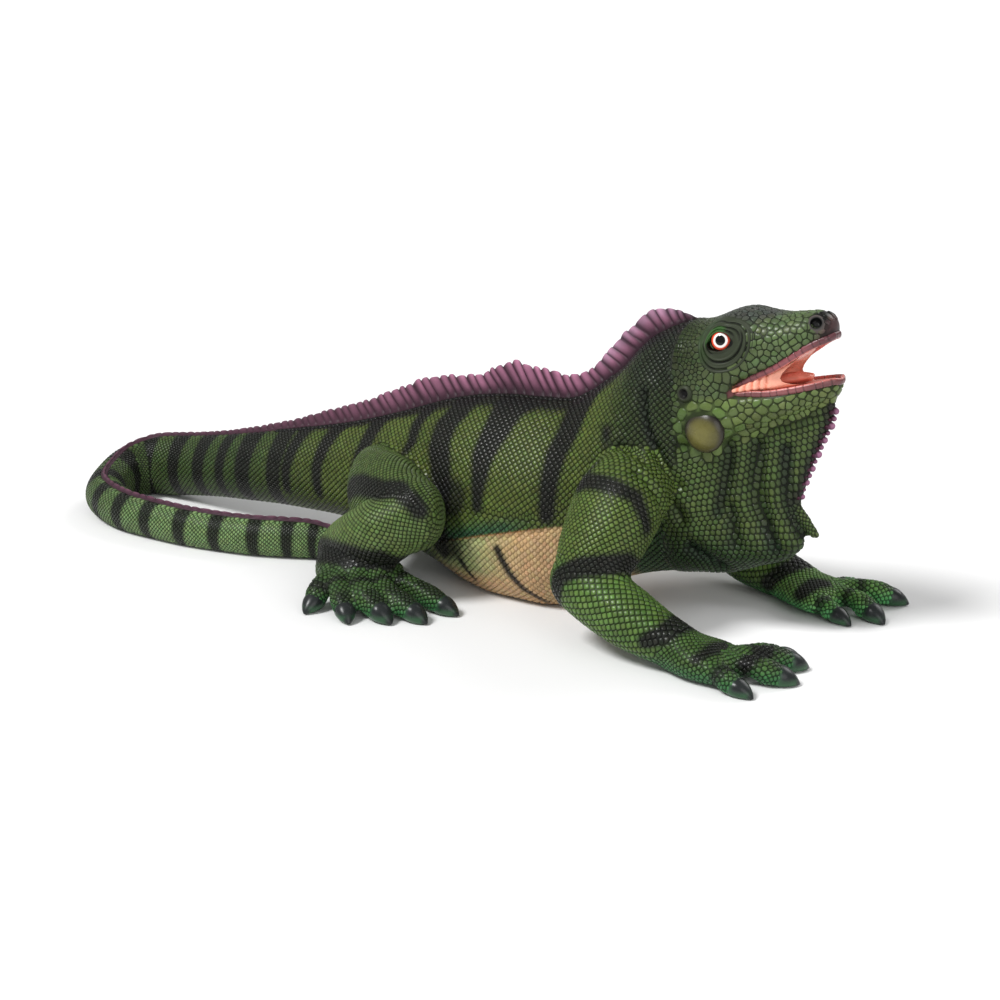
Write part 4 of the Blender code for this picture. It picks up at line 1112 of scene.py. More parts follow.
def make_coat(skin, seeds, material):
    """Every scale as a low pad filling its cell: large plates on the head, scales elsewhere.

    For each scale: two ways along the skin, and its twelve nearest neighbours' distance,
    bearing, and whether their skin faces the same way.
    """
    base, up = seeds["base"], seeds["up"]
    one = unit(seeds["lie"] - up * np.einsum("ij,ij->i", seeds["lie"], up)[:, None])
    two = np.cross(up, one)
    near, far = (found[:, 1:] for found in nearest(base, base, 13))
    gap = base[near] - base[:, None]
    bearing = np.arctan2(np.einsum("ijk,ik->ij", gap, two), np.einsum("ijk,ik->ij", gap, one))
    facing = np.einsum("ijk,ik->ij", up[near], up) > 0.1
    cells = {**seeds, "one": one, "two": two, "far": far, "bearing": bearing, "facing": facing,
             "chart": chart(seeds)}
    plate = seeds["kind"] == HEAD_KIND
    for name, some, manner in (("plates", plate, PLATES), ("scales", ~plate, SCALES)):
        some = some & seeds["real"]
        lay_pads(skin, {key: value[some] for key, value in cells.items()}, name, manner, material)


def lay_pads(skin, seeds, name, manner, material):
    """The pads of one manner, in pieces of a few thousand.

    With neighbours at distance d and bearing b, the cell reaches 1 / (sum of
    (2 cos(angle - b) / d) ^ p) ^ (1 / p): the lines halfway to them, corners rounded.
    Each pad has rings and a middle, laid on the skin and raised along its normal.
    """
    around, most, relief, sharp, levels, shades = manner
    base, up, one, two, size = (seeds[key] for key in ("base", "up", "one", "two", "size"))
    kind, at, turn = (seeds[key] for key in ("kind", "at", "turn"))
    angle = np.linspace(0, 2 * PI, around, endpoint=False)
    pull = 2 * np.maximum(np.cos(angle[None, :, None] - seeds["bearing"][:, None]), 0)
    pull = np.where(seeds["facing"][:, None], pull / seeds["far"][:, None], 0)
    reach = 1 / np.maximum((pull**sharp).sum(axis=2) ** (1 / sharp), 1e-6)
    reach = np.minimum(reach, most * size[:, None])
    # a groove between pads: 0.1 mm and 1.4 hundredths of the size
    groove = 0.0001 + 0.014 * size
    reach = np.maximum(reach - groove[:, None], 0.0004)
    count = len(base)
    rings = len(levels)
    local = np.zeros((count, rings * around + 1, 2))
    raise_by = np.zeros(local.shape[:2])
    # heights vary by a tenth; beads stand higher, and the fan's scales lie lower
    high = 0.0003 + relief * size * (0.9 + 0.2 * RANDOM.random(count))
    high = high * np.where(kind == BEAD_KIND, 1.9, np.where(kind == DEWLAP_KIND, 0.75, 1.0))
    for k, (share, lift) in enumerate(levels):
        span = slice(k * around, (k + 1) * around)
        local[:, span, 0] = reach * share * np.cos(angle)
        local[:, span, 1] = reach * share * np.sin(angle)
        tilt = 1 + 0.3 * share * np.cos(angle) if lift > 0 else 1.0
        raise_by[:, span] = high[:, None] * lift * tilt
    # the outer ring stands in the skin
    raise_by[:, :around] = -0.00045
    raise_by[:, -1] = high * 1.02
    points = spread_on(base[:, None], one[:, None], two[:, None], *np.moveaxis(local, -1, 0))
    flat = onto(skin, points.reshape(-1, 3)).reshape(points.shape)
    points = flat + raise_by[..., None] * up[:, None]
    points[..., 2] = np.maximum(points[..., 2], 0.0003)
    # colour of each point: the paint there, with painted shade in the groove and a painted highlight
    # on the crown
    per = points.shape[1]
    spread = np.repeat(np.arange(count), per)
    here = paint(flat.reshape(-1, 3), kind[spread],
                 at[spread] + np.where(kind[spread] == BODY_KIND, local[..., 0].ravel(), 0),
                 turn[spread]).reshape(count, per, 3)
    shade = np.full(per, shades[0])
    for k in range(1, rings):
        shade[k * around:(k + 1) * around] = shades[k]
    shade[-1] = shades[-1]
    pale = rise(here[..., 0], 0.16, 0.36)
    shade = shade + (1 - shade) * 0.75 * pale
    tone = 0.8 + 0.4 * RANDOM.random((count, 1))
    tone = tone + (1 - tone) * 0.6 * pale
    tint = 1 + 0.14 * (RANDOM.random((count, 3)) - 0.5)
    colours = here * shade[..., None] * tone[..., None] * tint[:, None]
    # UV: a patch 3 mm across in the unit square at the root's place
    uv = seeds["chart"][:, None] + local / np.abs(local).max(axis=(1, 2))[:, None, None] * 0.0015
    # faces of one pad
    k = np.arange(around)
    beside = (k + 1) % around
    quads = np.concatenate([
        np.stack([k, beside, beside + around, k + around], 1) + ring * around
        for ring in range(rings - 1)])
    last = (rings - 1) * around
    tris = np.stack([k + last, beside + last, np.full(around, per - 1)], 1)
    pieces = int(np.ceil(count / 4400))
    order = np.argsort(base[:, 0])
    for number, some in enumerate(np.array_split(order, pieces)):
        shift = per * np.arange(len(some))[:, None, None]
        faces = [(quads[None] + shift).reshape(-1, 4), (tris[None] + shift).reshape(-1, 3)]
        obj = add_object(f"{name}_{number + 1}", points[some].reshape(-1, 3), faces, material,
                         colours[some].reshape(-1, 3), uv[some].reshape(-1, 2))
        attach(obj, "root")


def paint_skin(skin, seeds, material):
    """The skin in the grooves: the nearest scale's paint, darkened as painted shade; pink inside the
    mouth.
    """
    points = coordinates(skin.data)
    near, far = nearest(points, seeds["base"], 1)
    near, far = near[:, 0], far[:, 0]
    kind, at, turn = (seeds[key][near] for key in ("kind", "at", "turn"))
    colour = paint(points, kind, at, turn)
    bare = rise(far, 0.004, 0.007)
    pale = rise(colour[:, 0], 0.16, 0.36)
    colour = colour * np.maximum(0.26 + 0.64 * bare, 0.8 * pale)[:, None]
    x, y, z = folded(points).T
    palate, lip = along_table(HEAD, x)[:, 0], along_table(JAW, x)[:, 1]
    mouth = rise(z - lip, -0.003, -0.0012) * rise(palate - z, -0.003, -0.0012)
    corner = rise(0.0036 - np.hypot(x - 0.1698, z - 0.215), 0, 0.0012)
    # pink in the mouth, black in the nostril as painted shade, and the mouth's corner
    colour = lay(colour, ((0.66, 0.22, 0.16), mouth * rise(x, 0.17, 0.1725)),
                 (BLACK, rise(0.0066 - nostril_gap(x, z), 0, 0.001)),
                 ((0.11, 0.036, 0.038), corner * rise(y, 0.02, 0.03)))
    set_paint(skin.data, colour)
    skin.data.materials.clear()
    skin.data.materials.append(material)


# ---- finishes ----

def fill(node, values):
    """Set a node's inputs: an output of another node is linked, the rest are plain values."""
    for key, value in values.items():
        if isinstance(value, bpy.types.NodeSocket):
            node.id_data.links.new(value, node.inputs[key])
        else:
            node.inputs[key].default_value = value
    return node


def new_finish(name):
    """A new material and its shader."""
    material = bpy.data.materials.new(name)
    material.use_nodes = True
    return material, material.node_tree.nodes["Principled BSDF"]


def painted(name, roughness, bump=0.1, grain=900.0, spread=0.1, shine_level=0.3):
    """Varnished paint: the colour per point, mottled a little, with a fine grain in relief."""
    material, shader = new_finish(name)
    nodes = material.node_tree.nodes
    place = nodes.new("ShaderNodeTexCoord").outputs["Object"]

    def noise(scale, detail):
        """The value of a noise over the piece."""
        values = {"Scale": scale, "Detail": detail, "Vector": place}
        return fill(nodes.new("ShaderNodeTexNoise"), values).outputs["Fac"]

    def graded(value, low, high):
        """A noise's value stretched from low to high."""
        return fill(nodes.new("ShaderNodeMapRange"), {
            "From Min": 0.3, "From Max": 0.7, "To Min": low, "To Max": high,
            "Value": value}).outputs["Result"]

    colour = nodes.new("ShaderNodeAttribute")
    colour.attribute_name = "paint"
    mottle = noise(130.0, 4.0)
    mix = nodes.new("ShaderNodeVectorMath")
    mix.operation = "SCALE"
    fill(mix, {0: colour.outputs["Color"], "Scale": graded(mottle, 1 - spread, 1 + spread)})
    relief = fill(nodes.new("ShaderNodeBump"), {
        "Strength": bump, "Distance": 0.0006, "Height": noise(grain, 3.0)})
    fill(shader, {
        "Specular IOR Level": shine_level, "Base Color": mix.outputs["Vector"],
        "Roughness": graded(mottle, roughness - 0.05, roughness + 0.09),
        "Normal": relief.outputs["Normal"]})
    return material


def place_piece(name, parts, material, colour, slot, *nodes):
    """Make a piece, hang it on the body and hide the nodes it stands for."""
    obj = add_object(name, *parts, material, colour)
    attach(obj, "root")
    if nodes:
        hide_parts(*nodes)


# ---- the crest ----

CREST_LEAN = 0.6


def crest_height(at):
    """Height of the crest's outline above the back, at distances along it."""
    return np.maximum(along_table(CREST, at)[:, 0], 0.001)


def make_crest(material):
    """The fused spines: a ribbed fin whose ribs lean back from foot to tip.

    A point at foot distance s and share h of the height stands h x H x lean farther back.
    The ribs count on as 1 / pitch along the foot; between two of them the fin is thinner by
    a groove and its top dips by a notch, both as |2 x part of a rib - 1| to a power.
    """
    # places along the foot, closer together towards the neck, and the number of ribs so far
    foot = spaced(0.001, 1.085, lambda s: np.interp(s, (0.0, 0.45, 0.6), (0.0007, 0.0009, 0.0022)))
    pitch = np.interp(foot, (0.0, 0.07, 0.09, 0.2, 0.4, 0.5, 1.1),
                      (0.0062, 0.0072, 0.009, 0.0096, 0.0092, 0.01, 0.012))
    # the count of ribs, a little uneven, and how far each place is from the middle of its rib
    phase = np.concatenate([[0], np.cumsum(np.diff(foot) / pitch[1:])])
    phase = phase + 0.1 * np.sin(phase * 2.3) + 0.06 * np.sin(phase * 5.1)
    part = np.abs(2 * (phase % 1) - 1)
    rng = np.random.default_rng(3)
    each = 1 + 0.1 * (rng.random(400)[np.floor(phase).astype(int)] - 0.5)
    # shares of the height at which the fin has points; the first two stand in the back
    share = np.array((-0.3, -0.02, 0.06, 0.15, 0.28, 0.43, 0.58, 0.72, 0.84, 0.93, 0.985, 1.0))
    height = crest_height(foot)
    height = height * (1 + 0.1 * (1 - rise(foot, 0.06, 0.09)))
    nape = 1 - rise(foot, 0.075, 0.1)
    low = rise(foot, 0.4, 0.52)
    notch = 0.13 - 0.07 * nape + 0.25 * low
    top = height * each * (1 - notch * part ** (3.2 - 0.4 * nape))
    at = foot[:, None] + CREST_LEAN * np.maximum(share, 0) * height[:, None] * (
        1 - low[:, None] * 0.5)
    at = np.minimum(at, ALONG[-1] - 0.002)
    outline = np.minimum(crest_height(at.ravel()).reshape(at.shape), 1.15 * height[:, None] + .002)
    rise_by = share * (0.5 * outline / height[:, None] + 0.5) * top[:, None]
    rise_by[:, 0] = -0.004
    # half thickness: wide at the foot, thin at the tip, swollen on each rib
    swell = 1 - part**2.4
    fine = 0.5 + 0.5 * np.cos(phase * 2 * PI * 3)
    half = 0.0027 * np.exp(-np.maximum(share, 0) / 0.1) + 0.0023 * (1 - 0.45 * share)
    ribs = 0.5 + 0.7 * swell[:, None] - 0.1 * fine[:, None] * np.ones(len(share))
    ribs = 1 + (ribs - 1) * rise(share, 0.02, 0.2)[None]
    half = half[None] * ribs * np.sqrt(np.maximum(1 - np.maximum(share, 0) ** 7, 0))[None]
    slim = np.interp(foot, (0.0, 0.02, 0.4, 0.55, 1.1), (0.6, 1.0, 0.95, 0.72, 0.45))[:, None]
    half = np.where(share >= 1, 0, half * slim)
    # each point stands half the thickness to the side of the back's line, at its own height
    path, ahead, rows = body_frame(at.ravel())
    shape = at.shape
    x, y = path[:, 0].reshape(shape), path[:, 1].reshape(shape)
    fx, fy = ahead[:, 0].reshape(shape), ahead[:, 1].reshape(shape)
    z = rows[:, 1].reshape(shape) - 0.0006 + rise_by
    left = np.stack([x - fy * half, y + fx * half, z], 2)
    right = np.stack([x + fy * half, y - fx * half, z], 2)
    ring = np.concatenate([left, right[:, -2::-1]], axis=1)
    # colour: painted shade in the grooves, dark at the foot, and a painted highlight along each
    # rib's crown
    shade = np.clip(share, 0, 1)[None] * np.ones(shape)
    pale = np.clip(0.02 + 0.98 * swell[:, None] ** 1.6 * (0.25 + 0.75 * shade), 0, 1)
    pale = pale * rise(shade, 0.02, 0.58) + 0.02
    tone = (0.8 + 0.4 * rng.random(400)[np.floor(phase).astype(int)])[:, None]
    colour = lay((0.018, 0.007, 0.012), ((0.35, 0.142, 0.226), pale * tone))
    bright = (nape[:, None] * rise(shade, 0.45, 0.8))[..., None]
    colour = colour * (1 + bright * np.array((0.05, 0.36, 0.26)))
    colour = colour * (1 - 0.8 * (1 - rise(foot, 0.008, 0.026)))[:, None, None]
    colour = lay(colour, ((0.052, 0.022, 0.034), 0.8 * rise(foot, 0.21, 0.44)[:, None]))
    colour = np.concatenate([colour, colour[:, -2::-1]], axis=1)
    place_piece("crest", loft(ring), material, capped(colour), "crest_pink",
                "crest_neck", "crest_back", "crest_rump", "crest_tail")


def ellipsoid(centre, radii, around, rows, axis=None):
    """Points and faces of an ellipsoid: centre + radii x (sin b cos a, sin b sin a, cos b)."""
    b = np.linspace(0.06, PI - 0.06, rows)[:, None]
    a = np.linspace(0, 2 * PI, around, endpoint=False)[None]
    grid = np.stack([np.sin(b) * np.cos(a), np.sin(b) * np.sin(a),
                     np.cos(b) * np.ones_like(a)], 2) * np.array(radii)
    if axis is not None:
        axis = unit(np.array(axis, float))
        one = unit(np.cross(axis, (0.0, 0.0, 1.0)))
        grid = grid @ np.stack([one, np.cross(axis, one), axis])
    return loft(grid + np.array(centre))


def make_throat_beads(material):
    """Magenta beads down the front edge of the throat fan, with a smaller one on either side."""
    count = 13
    z = np.linspace(0.128, 0.2045, count)
    x = smooth(DEWLAP[:, 1], DEWLAP[:, 2:3], z)[:, 0]
    parts, colours = [], []
    # sizes repeat by four, and the lowest three are smaller
    big = (1.0, 0.72, 1.12, 0.8)
    for k in range(count):
        size = 0.0029 * big[k % 4] * (0.85 if k < 3 else 1.0)
        for out, scale in ((0.0, 1.0), (0.0028, 0.66), (-0.0028, 0.66)):
            middle = (x[k] - 0.0006 - 0.7 * abs(out), out, z[k] + 0.3 * out)
            piece = ellipsoid(middle, (size * scale * 1.15, size * scale * 0.9, size * scale),
                              12, 8)
            parts.append(piece)
            lift = rise(piece[0][:, 0] - x[k], -0.002, 0.0026)[:, None]
            colours.append(np.array((0.035, 0.008, 0.018)) * (1 - lift)
                           + np.array((0.3, 0.13, 0.22)) * lift * (0.7 + 0.3 * big[k % 4]))
    place_piece("throat_beads", joined(parts), material, np.concatenate(colours),
                "crest_pink", "dewlap_spines")


# ---- the head's own pieces ----

def cheek(x, z, grow=-COAT):
    """Distance out from the middle plane of the head's side: its slice's half width at z."""
    low, high, half, over, under = along_table(HEAD, x.ravel()).T
    up = np.clip((z.ravel() - (low + high) / 2) / ((high - low) / 2 + grow), -0.999, 0.999)
    square = np.where(up < 0, LIP_SQUARE, CROWN_SQUARE)
    return half_width(up, half + grow, over, under, square).reshape(x.shape)


def make_eyes(material):
    """Each eye is a shallow dome: pupil, pale ring and red ring by distance from its axis.

    At distance d it stands out by 6.4 mm x the square root of 1 - (d / 9.6 mm) ^ 2.
    """
    for letter, side in SIDES:
        axis = unit(np.array((0.22, side * 0.93, 0.22)))
        one = unit(np.cross((0.0, 0.0, 1.0), axis))
        far = np.linspace(0.02, 1.0, 44)[:, None] * 0.0094
        turn = np.linspace(0, 2 * PI, 64, endpoint=False)[None]
        lift = 0.0064 * np.sqrt(np.maximum(1 - (far / 0.0096) ** 2, 0))
        centre = np.array((0.1588, side * 0.0308, 0.257)) + lift[..., None] * axis
        grid = spread_on(centre, one, np.cross(axis, one), far * np.cos(turn), far * np.sin(turn))
        grid = np.concatenate([grid, grid[-1:] - axis * 0.004])
        far = np.append(far, 0.0094)
        colour = lay((0.004, 0.004, 0.004), ((0.86, 0.84, 0.8), rise(far, 0.004, 0.0044)),
                     ((0.72, 0.075, 0.03), rise(far, 0.0057, 0.0063)),
                     ((0.012, 0.008, 0.007), rise(far, 0.0075, 0.0081)))
        place_piece("eye_" + letter.lower(), loft(grid), material,
                    capped(np.repeat(colour, 64, axis=0)), "eye_gloss", "eye_" + letter)


# Creases of the lids: place as a share of the way out, sway, way they face, how far round
# they run, half width and depth
CREASES = ((0.2, 0.0, 2.4, 1.9, 0.045, 0.8), (0.34, 0.05, 1.2, 1.2, 0.04, 0.9),
           (0.46, -0.03, -1.2, 1.7, 0.045, 1.0), (0.66, 0.03, -0.7, 1.9, 0.04, 0.9),
           (0.62, 0.0, 2.0, 0.9, 0.04, 0.7), (0.84, 0.02, -1.3, 1.6, 0.035, 0.9))


def make_lids(material):
    """Round each eye, a rolled lid and smooth folds: rings at a growing distance from it.

    A point stands on the cheek's surface at (far x cos turn, far x sin turn) from the eye.
    Its height there is a lid's bell at the rim, less a bell curve for each line of CREASES,
    with a lower bell beside it on either side, and sinks under the scales at the outer edge.
    The opening reaches farther towards its two corners, by a power of a cosine of turn.
    """
    turn = np.linspace(0, 2 * PI, 144, endpoint=False)[None]
    share = np.linspace(0, 1, 60)[:, None]
    reach = lid_reach(0.8 * np.cos(turn) - 0.6 * np.sin(turn)) * 1.1
    inner = 0.0067 * (1 + 0.3 * np.abs(np.cos(turn - 0.35)) ** 4)
    far = inner + (reach - inner) * share**1.15
    x = EYE_MIDDLE[0] + 0.0012 + far * np.cos(turn)
    z = EYE_MIDDLE[2] + far * np.sin(turn)
    away = (far - inner) / (reach - inner)
    crease = np.zeros_like(away)
    for place, wave, facing, spread, wide, deep in CREASES:
        line = place + wave * np.cos(turn - facing + 0.6)
        here = rise(np.cos(turn - facing), np.cos(spread) - 0.25, np.cos(spread) + 0.25)
        for part, shift in ((1, 0), (-0.55, 1.6), (-0.35, -1.6)):
            crease += part * deep * here * bell(away - line + shift * wide, wide)
    # the height: folds, the lid at the rim, the opening's wall, the brow and the outer edge
    height = 0.0012 - 0.0013 * crease + 0.001 * bell(far - inner - 0.0013, 0.0014)
    height = height - 0.005 * (1 - rise(far - inner, 0.0, 0.0012))
    height = height + 0.0018 * rise(np.sin(turn), 0.1, 0.9) * bell(far - 0.0125, 0.004)
    height = height * (1 - rise(share, 0.84, 1.0)) - 0.0012 * rise(share, 0.88, 1.0)
    # the colour: painted shade in the creases, green behind the eye, black at the rim and in the
    # corners
    crown = 1 - rise(crease, -0.15, 0.6)
    back = rise(-0.72 * np.cos(turn) + 0.65 * np.sin(turn), 0.1, 0.6)
    behind = rise(-np.cos(turn), 0.2, 0.8) * rise(far, 0.0125, 0.015)
    colour = lay((0.01, 0.012, 0.008), ((0.034, 0.042, 0.025), crown),
                 ((0.044, 0.112, 0.03), 0.9 * back * (1 - rise(far, 0.011, 0.0128))),
                 ((0.028, 0.05, 0.018), 0.8 * behind))
    rim = (1 - rise(far - inner, 0.0006, 0.002)) * (1 - 0.6 * back)
    corner = bell((turn + 0.1 + PI) % (2 * PI) - PI, 0.55)
    corner = corner + 0.75 * bell((turn - 3.7 + PI) % (2 * PI) - PI, 0.42)
    black = (1 - rise(far - inner - 0.0034 * corner, -0.0004, 0.0006)) * rise(corner, 0.1, 0.3)
    # black rim and corners, and painted shade at the outer edge where the lids meet the scales
    light = (1 - 0.9 * rim) * (1 - 0.93 * black) * (1 - 0.45 * rise(share, 0.84, 0.94))
    colour = colour * light[..., None]
    for letter, side in SIDES:
        grid = np.stack([x, side * (cheek(x, z) + height), z], 2)
        place_piece("lids_" + letter.lower(), sheet(grid, side > 0), material,
                    colour.reshape(-1, 3), "skin_green")


# Rings of the pits in the head, from the middle out: distance and height in mm, and colours
NOSTRIL_RINGS = mm((0.2, -3.2), (2.4, -3), (3.6, -1.2), (4.6, 1), (6, 0.8), (7.6, -0.6), (8.2, -1.2))
EAR_RINGS = mm((0.2, -2), (2, -1.8), (3.4, -0.4), (4.6, 1.2), (6.2, 0.8), (8, -0.8))
HOLE_BLACK = (0.004, 0.004, 0.004)
# the nostril's four black inner rings are painted shade in the hole
NOSTRIL_COLOURS = (HOLE_BLACK, HOLE_BLACK, HOLE_BLACK, HOLE_BLACK, (0.07, 0.062, 0.058),
                   (0.09, 0.07, 0.066), (0.045, 0.04, 0.038))
EAR_COLOURS = (HOLE_BLACK, HOLE_BLACK, (0.02, 0.02, 0.016), (0.03, 0.038, 0.02),
               (0.028, 0.036, 0.018))


def evenly(rows, count):
    """Rows at even steps along the smooth curve through the given ones."""
    return smooth(np.arange(len(rows)), rows, np.linspace(0, len(rows) - 1, count))


def make_pit(name, skin, middle, rings, material, colours, slot, side, *nodes):
    """Rings round a hole in the head: distance, height and colour by share of the way out.

    The widest ring is laid on the skin, and the plane nearest it gives the pit's middle and
    normal.  Each ring stands its height over that plane, and as much more as a ball 40 mm in
    radius does there: (widest distance ^ 2 - distance ^ 2) / (2 x 40 mm).
    """
    far, height = evenly(rings, 26).T
    turn = np.linspace(0, 2 * PI, 40, endpoint=False)
    cosine, sine = np.cos(turn), np.sin(turn)
    span = far.max()
    forward, up = np.array(ALONG_X), np.array(UPRIGHT)
    rim = onto(skin, spread_on(middle * (1, side, 1), forward, up, span * cosine, span * sine))
    centre = rim.mean(axis=0)
    normal = np.linalg.svd(rim - centre)[2][2]
    normal = normal * np.sign(normal[1] * side)
    one = unit(forward - normal * normal[0])
    two = np.cross(normal, one) * -side
    bulge = 0.5 * (span**2 - far**2) / 0.04
    grid = spread_on(centre, one, two, far[:, None] * cosine, far[:, None] * sine)
    grid = grid + (height + bulge)[:, None, None] * normal
    place_piece(name, sheet(grid, side > 0), material,
                np.repeat(evenly(colours, 26), 40, axis=0), slot, *nodes)


def make_shields(material):
    """The big smooth scale under each ear: a shallow dome, greenish yellow on its crown."""
    for letter, side in SIDES:
        points, faces = ellipsoid((0.15, side * 0.0392, 0.1815), (0.018, 0.0182, 0.0094),
                                  64, 40, (0.0, side, 0.0))
        far = np.linalg.norm((points - (0.1515, 0, 0.1795)) * (1, 0, 1), axis=1)
        # yellow in the middle, olive outwards, then brown-grey and near black at the rim as painted
        # shade where the dome meets the skin
        colour = lay((0.14, 0.128, 0.034), ((0.092, 0.084, 0.026), rise(far, 0.003, 0.0125)),
                     ((0.034, 0.03, 0.022), rise(far, 0.0115, 0.0165)),
                     ((0.01, 0.009, 0.008), rise(far, 0.016, 0.0185)))
        place_piece("cheek_shield_" + letter.lower(), (points, faces), material, colour,
                    "shield_green", "cheek_shield_" + letter)


def make_lips(material):
    """Lips: an ellipse carried along each lip line, nicked every few millimetres."""
    for name, path, tall, tone, inwards in (
            ("upper_lip", UPPER_LIP, 0.003, (0.15, 0.044, 0.05), -1),
            ("lower_lip", LOWER_LIP, 0.0029, (0.15, 0.05, 0.052), 1)):
        fine = np.linspace(0, length_run(path)[-1], 520)
        path = resample(path, fine)
        for _ in range(6):
            path[1:-1] = (path[:-2] + 2 * path[1:-1] + path[2:]) / 4
        way = unit(np.gradient(path, axis=0))
        up = unit(np.array((0.0, 0.0, 1.0)) - way * way[:, 2:])
        out = np.cross(up, way)
        out = out * np.sign((out * (path - (0.17, 0, 0)))[:, :2].sum(axis=1))[:, None]
        off = np.abs(fine - fine[-1] / 2)
        nick = bell((off + 0.0012 * np.sin(off * 310)) % 0.0074 - 0.0037, 0.00055)
        ends = np.sqrt(np.clip(np.minimum(fine, fine[-1] - fine) / 0.02, 0.02, 1))
        size = (ends * (1 - 0.1 * nick))[:, None]
        angle = np.linspace(0, 2 * PI, 24, endpoint=False)
        ring = spread_on((path - 0.0006 * out)[:, None], out[:, None], up[:, None],
                         0.0019 * size * np.cos(angle), tall * size * np.sin(angle))
        inner = rise(inwards * np.sin(angle) - 0.5 * np.cos(angle), 0.1, 0.9) * np.ones((520, 1))
        tip = rise(ring[..., 0], 0.215, 0.245) * (name == "upper_lip")
        blush = rise(ring[..., 0], 0.185, 0.21) * (1 - rise(ring[..., 0], 0.222, 0.238))
        colour = lay(tone, ((0.52, 0.17, 0.15), inner),
                     ((0.075, 0.034, 0.04), 0.6 * tip * (1 - inner)))
        # painted shade in each nick
        colour = colour * ((1 - 0.55 * nick[:, None]) * (1 + 0.5 * blush))[..., None]
        place_piece(name, loft(ring), material, capped(colour), "mouth_pink")


def make_mouth(material):
    """The lining: ribbed cheek walls from the corners forward to a hollow front, and a tongue.

    Each ring is a squared ellipse between lip line and palate.  The rings run forward as the
    outer wall and then back again as the hollow, shrinking as a cosine.
    """
    angle = np.linspace(0, 2 * PI, 72, endpoint=False)
    up, across = signed_power(np.cos(angle), 0.45), signed_power(np.sin(angle), 0.45)
    # distances forward, sizes and lean of the rings: the outer wall's, then the hollow's
    wall = np.linspace(0.164, 0.207, 44)
    bend = np.linspace(0.05, PI / 2 - 0.03, 18)
    at = np.concatenate([wall, 0.207 - 0.016 * np.sin(bend)])
    scale = np.concatenate([np.ones(44), np.cos(bend)])
    forward = np.concatenate([rise(wall, 0.17, 0.207), np.cos(bend) ** 2])
    x = at[:, None] + 0.017 * forward[:, None] * np.abs(up) ** 2.2
    top, bottom = (along_table(table, x.ravel()).reshape(*x.shape, 5) for table in (HEAD, JAW))
    # half widths: inside both lips, with a rib every 5.4 mm
    half = np.minimum(top[..., 2] * top[..., 4], bottom[..., 2] * bottom[..., 3]) - 0.0045
    half = half + 0.0022 - 0.0057 * forward[:, None] - 0.003 * (1 - rise(x, 0.164, 0.169))
    rib = np.cos(2 * PI * (x - 0.1665) / 0.0054) * rise(x, 0.164, 0.172)
    rib = rib * (1 - rise(x, 0.196, 0.202)) * (scale[:, None] == 1)
    half = (half + 0.0008 * rib) * scale[:, None]
    low, high = bottom[..., 1] - 0.0012, top[..., 0] + 0.0012
    middle = (low + high) / 2
    z = middle + (high - low) / 2 * up * np.maximum(scale[:, None], 0.05)
    # a deeper red in the grooves between the ribs as painted shade, and darker red at top and bottom
    colour = lay((0.92, 0.42, 0.3), ((0.62, 0.13, 0.06), 0.8 * rise(-rib, 0.15, 0.95)),
                 ((0.66, 0.16, 0.1), 0.6 * rise(np.abs(up), 0.75, 1.0)))
    place_piece("mouth", loft(np.stack([x, half * across, z], 2)), material, capped(colour),
                "mouth_pink", "mouth_lining")
    shape, length, table = tube_shape(TONGUE, ACROSS, UPRIGHT, 1)
    turns = np.linspace(-PI, PI, 41)[:-1]
    grid = grid_of(lambda a, t: shape(a, t, 0.0), tube_stations(length, table, 0.001), turns)
    grid[..., 2] -= 0.0016 * bell(grid[..., 1], 0.0022)
    points, faces = loft(grid)
    colour = lay((0.74, 0.25, 0.18),
                 ((0.4, 0.08, 0.05), 0.8 * rise(0.2 - points[:, 0], 0, 0.01)))
    place_piece("tongue_piece", (points, faces), material, colour, "mouth_pink", "tongue")


# ---- claws ----

CLAW_LENGTH = 0.0165
# Slices of a claw: share of its length, size against the digit's end, height against its root's
CLAW = np.array(((0.0, 0.98, 1.02), (0.25, 0.93, 0.97), (0.5, 0.78, 0.84),
                 (0.75, 0.52, 0.62), (0.92, 0.26, 0.4), (1.0, 0.08, 0.26)))


def make_claws(material):
    """Each claw: the ellipse of the digit's end carried forward, shrinking and drooping."""
    share = np.linspace(0, 1, 16)
    rows = np.column_stack([share, along_table(CLAW, share)])
    # the first slice stands inside the digit
    along, scale, drop = np.concatenate([[(-0.28, 0.9, 1.0)], rows]).T[..., None]
    angle = np.linspace(0, 2 * PI, 22, endpoint=False)
    for letter, side in SIDES:
        for limb, digits in (("finger", FINGERS[letter]), ("toe", TOES)):
            for number, digit in enumerate(digits, 1):
                joint, root = digit[3:9].reshape(2, 3) * (1, side, 1)
                ahead = unit((root - joint) * (1, 1, 0))
                wide = np.array((-ahead[1], ahead[0], 0))
                half, tall = digit[9] * 0.9, digit[9] * 0.9 * 0.94
                centre = root + ahead * (along * CLAW_LENGTH)
                centre[:, 2:] *= drop
                ring = spread_on(centre[:, None], wide, np.array(UPRIGHT),
                                 half * scale * np.sin(angle), tall * scale * np.cos(angle))
                ring[..., 2] = np.maximum(ring[..., 2], 0.0009)
                points, faces = loft(ring)
                high = rise(points[:, 2] - root[2], -0.0035, 0.001)
                out = ((points - root) @ ahead) / CLAW_LENGTH
                nail = np.maximum(high * rise(out, -0.14, 0.2), rise(out, 0.7, 0.92))
                colour = lay((0.026, 0.078, 0.034), ((0.016, 0.019, 0.019), nail))
                place_piece(f"nail_{limb}_{number}_{letter.lower()}", (points, faces), material,
                            colour, "claw_grey", f"claw_{limb}_{number}_{letter}")


# ---- stage, light and camera ----

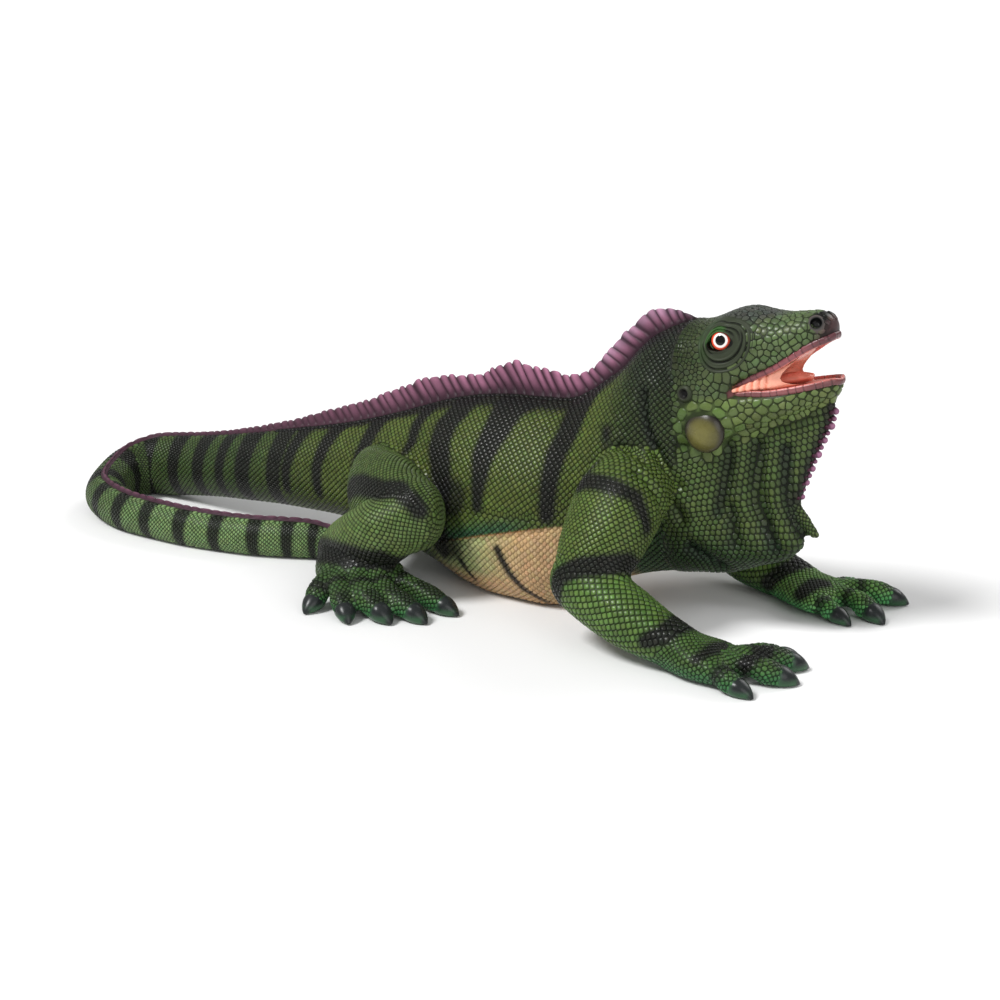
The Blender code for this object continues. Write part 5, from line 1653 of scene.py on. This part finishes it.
def make_stage():
    """A plain pale floor, soft studio lamps and the camera."""
    points = np.array(((-40, -10, 0), (40, -10, 0), (40, 70, 0), (-40, 70, 0)), float)
    material, shader = new_finish("floor_paper")
    fill(shader, {"Base Color": (0.84, 0.84, 0.84, 1), "Roughness": 0.8, "Specular IOR Level": 0.1})
    floor = add_object("floor", points, [np.array([[0, 1, 2, 3]])], material)
    scene = bpy.context.scene
    world = bpy.data.worlds.new("studio")
    world.use_nodes = True
    fill(world.node_tree.nodes["Background"], {"Color": (1.0, 1.0, 1.0, 1), "Strength": 0.38})
    scene.world = world
    # lamps: name, place, power and spread
    for name, place, power, spread in (
            ("key", (-0.4, -0.85, 1.15), 2.9, 0.32), ("fill", (1.0, -0.6, 0.5), 0.9, 0.8),
            ("rim", (0.3, 1.0, 0.8), 1.0, 0.6)):
        light = bpy.data.lights.new(name, "SUN")
        light.energy, light.angle = power, spread
        lamp = linked(name, light)
        lamp.location = place
        aim(lamp, (0.0, 0.0, 0.0))
    camera = linked("camera", bpy.data.cameras.new("camera"))
    camera.data.lens, camera.data.sensor_width = 72.0, 36.0
    camera.location = (0.922, -1.4345, 0.6073)
    aim(camera, (-0.0653, -0.0245, 0.081))
    scene.camera = camera
    scene.view_settings.view_transform = "Standard"


def aim(obj, target):
    """Turn an object so that it looks at a point, upright."""
    way = Vector(target) - obj.location
    obj.rotation_euler = way.to_track_quat("-Z", "Y").to_euler()


def main():
    """Skin first, then what lies on it."""
    hide = painted("skin_paint", 0.42, shine_level=0.16)
    scale_finish = painted("scale_varnish", 0.27, bump=0.14, shine_level=0.22)
    fin = painted("crest_paint", 0.45, bump=0.3, grain=600.0, shine_level=0.15)
    horn = painted("claw_varnish", 0.26, bump=0.06, shine_level=0.28)
    gloss = painted("eye_varnish", 0.06, bump=0.0, spread=0.03)
    wet = painted("mouth_varnish", 0.24, bump=0.12, shine_level=0.4)
    skin = make_skin()
    points, normals = coordinates(skin.data), coordinates(skin.data, "vertex_normals", "vector")
    seeds = settle(skin, all_seeds(points, normals))
    make_coat(skin, seeds, scale_finish)
    paint_skin(skin, seeds, hide)
    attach(skin, "root")
    flesh_nodes = ["head", "lower_jaw", "neck", "dewlap", "trunk", "tail_1", "tail_2", "tail_3",
                   "tail_4"]
    for limb in ("upper_arm", "forearm", "hand", "thigh", "shank", "foot"):
        flesh_nodes += [limb + "_R", limb + "_L"]
    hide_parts(*flesh_nodes)
    make_crest(fin)
    make_throat_beads(fin)
    make_eyes(gloss)
    make_lids(hide)
    for letter, side in SIDES:
        make_pit("nostril_" + letter.lower(), skin, NOSTRIL_MIDDLE, NOSTRIL_RINGS, hide,
                 NOSTRIL_COLOURS, "skin_green", side)
        make_pit("ear_" + letter.lower(), skin, EAR_MIDDLE, EAR_RINGS, hide, EAR_COLOURS,
                 "ear_dark", side, "eardrum_" + letter)
    make_shields(horn)
    make_lips(wet)
    make_mouth(wet)
    make_claws(horn)
    make_stage()


main()
